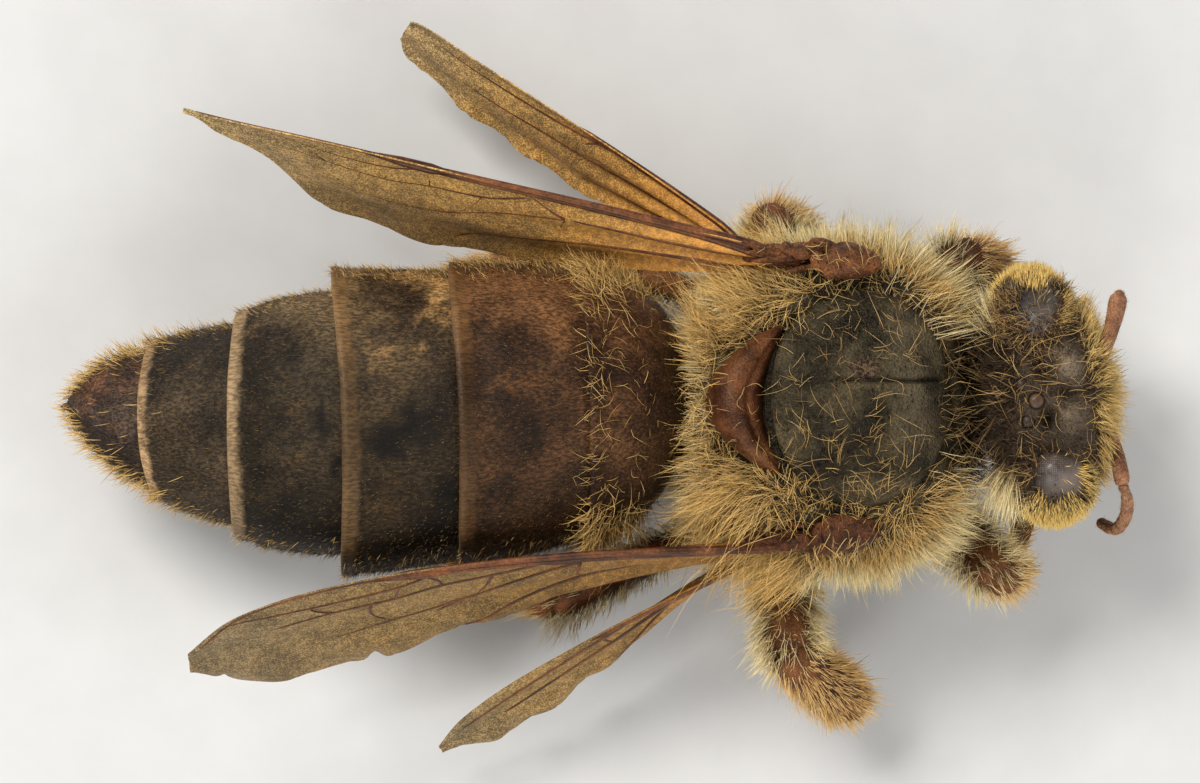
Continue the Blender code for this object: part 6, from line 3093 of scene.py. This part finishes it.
# The last number of each wing is its painted light and shade: lighter on the bee's left wings, darker on its
# right ones.
WINGS = (
    Wing(
        Pair.FORE, Side.LEFT, 9.46, TORN_PLAN, (2.86, 2.06, 4.74), 13.4, 1.0, (62, 66, 80), 0.16,
        FORE_VEINS, 1.15,
    ),
    Wing(
        Pair.FORE, Side.RIGHT, 9.4, FORE_PLAN, (3.10, -2.28, 4.74), 0.6, -0.5, (98, 113, 121), 0.85,
        FORE_VEINS, 0.66,
    ),
    Wing(
        Pair.HIND, Side.LEFT, 6.45, BLUNT_PLAN, (2.22, 2.24, 4.02), 36.4, 15, (62, 64, 60), 0.0, HIND_VEINS,
        1.32,
    ),
    Wing(
        Pair.HIND, Side.RIGHT, 6.1, HIND_PLAN, (2.42, -2.42, 3.98), 27.6, 18, (84, 110, 121), 0.0,
        HIND_VEINS, 0.80,
    ),
)


# ---------------------------------------------------------------- studio
@dataclass
class Studio:
    """A plain pale floor, soft lights and a camera that looks straight down."""

    height: float = 100.0
    lens: float = 189.2
    floor_size: float = 400.0

    def floor(self) -> None:
        """A wide floor at the bee's feet."""
        clear_choice()
        bpy.ops.mesh.primitive_plane_add(size=self.floor_size * MM, location=(0, 0, 0))
        piece = bpy.context.object
        piece.name = "studio_floor"
        bpy.ops.object.mode_set(mode="EDIT")
        bpy.ops.mesh.subdivide(number_cuts=4)
        bpy.ops.object.mode_set(mode="OBJECT")
        piece.data.materials.append(PaleFloor("floor_pale").material())

    def light(self, name: str, place: tuple, size: float, power: float, colour: Colour) -> None:
        """One soft square light, turned to the bee.

        Args:
            name: The light's name.
            place: Where it hangs, in millimetres.
            size: Its width, in millimetres.
            power: Its power.
            colour: Its colour.
        """
        clear_choice()
        bpy.ops.object.light_add(type="AREA", location=tuple(c * MM for c in place))
        lamp = bpy.context.object
        lamp.name = name
        lamp.data.size = size * MM
        lamp.data.energy = power
        lamp.data.color = colour
        lamp.rotation_euler = (Vector((0, 0, 2 * MM)) - lamp.location).to_track_quat("-Z", "Y").to_euler()

    def build(self) -> None:
        """Sets the floor, lights, world and camera."""
        self.floor()
        self.light("key_light", (-90, 102, 186), 90.0, 0.56, (1.0, 0.98, 0.95))
        self.light("fill_light", (132, -78, 144), 126.0, 0.18, (0.97, 0.98, 1.0))
        self.light("rear_light", (-42, -162, 120), 120.0, 0.21, (1.0, 0.99, 0.97))
        world = bpy.context.scene.world or bpy.data.worlds.new("studio_air")
        bpy.context.scene.world = world
        world.use_nodes = True
        sky = world.node_tree.nodes.get("Background")
        sky.inputs["Color"].default_value = (0.93, 0.94, 0.96, 1.0)
        sky.inputs["Strength"].default_value = 0.30
        clear_choice()
        bpy.ops.object.camera_add(
            location=((0.02 + SHIFT[0]) * MM, (0.015 + SHIFT[1]) * MM, self.height * MM), rotation=(0, 0, 0)
        )
        camera = bpy.context.object
        camera.name = "camera"
        camera.data.sensor_width = 36.0
        camera.data.lens = self.lens
        camera.data.clip_start = 0.01
        camera.data.clip_end = 5.0
        bpy.context.scene.camera = camera
        bpy.context.scene.view_settings.view_transform = "Standard"


def main() -> None:
    """Builds the bee and its studio."""
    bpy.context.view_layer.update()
    Thorax().build(np.random.default_rng(SEED + 1))
    Abdomen().build(np.random.default_rng(SEED + 2))
    Head().build(np.random.default_rng(SEED + 3))
    for number, leg in enumerate(LEGS):
        leg.build(np.random.default_rng(SEED + 10 + number))
    for wing in WINGS:
        wing.build()
    Studio().build()


if __name__ == "__main__":
    main()
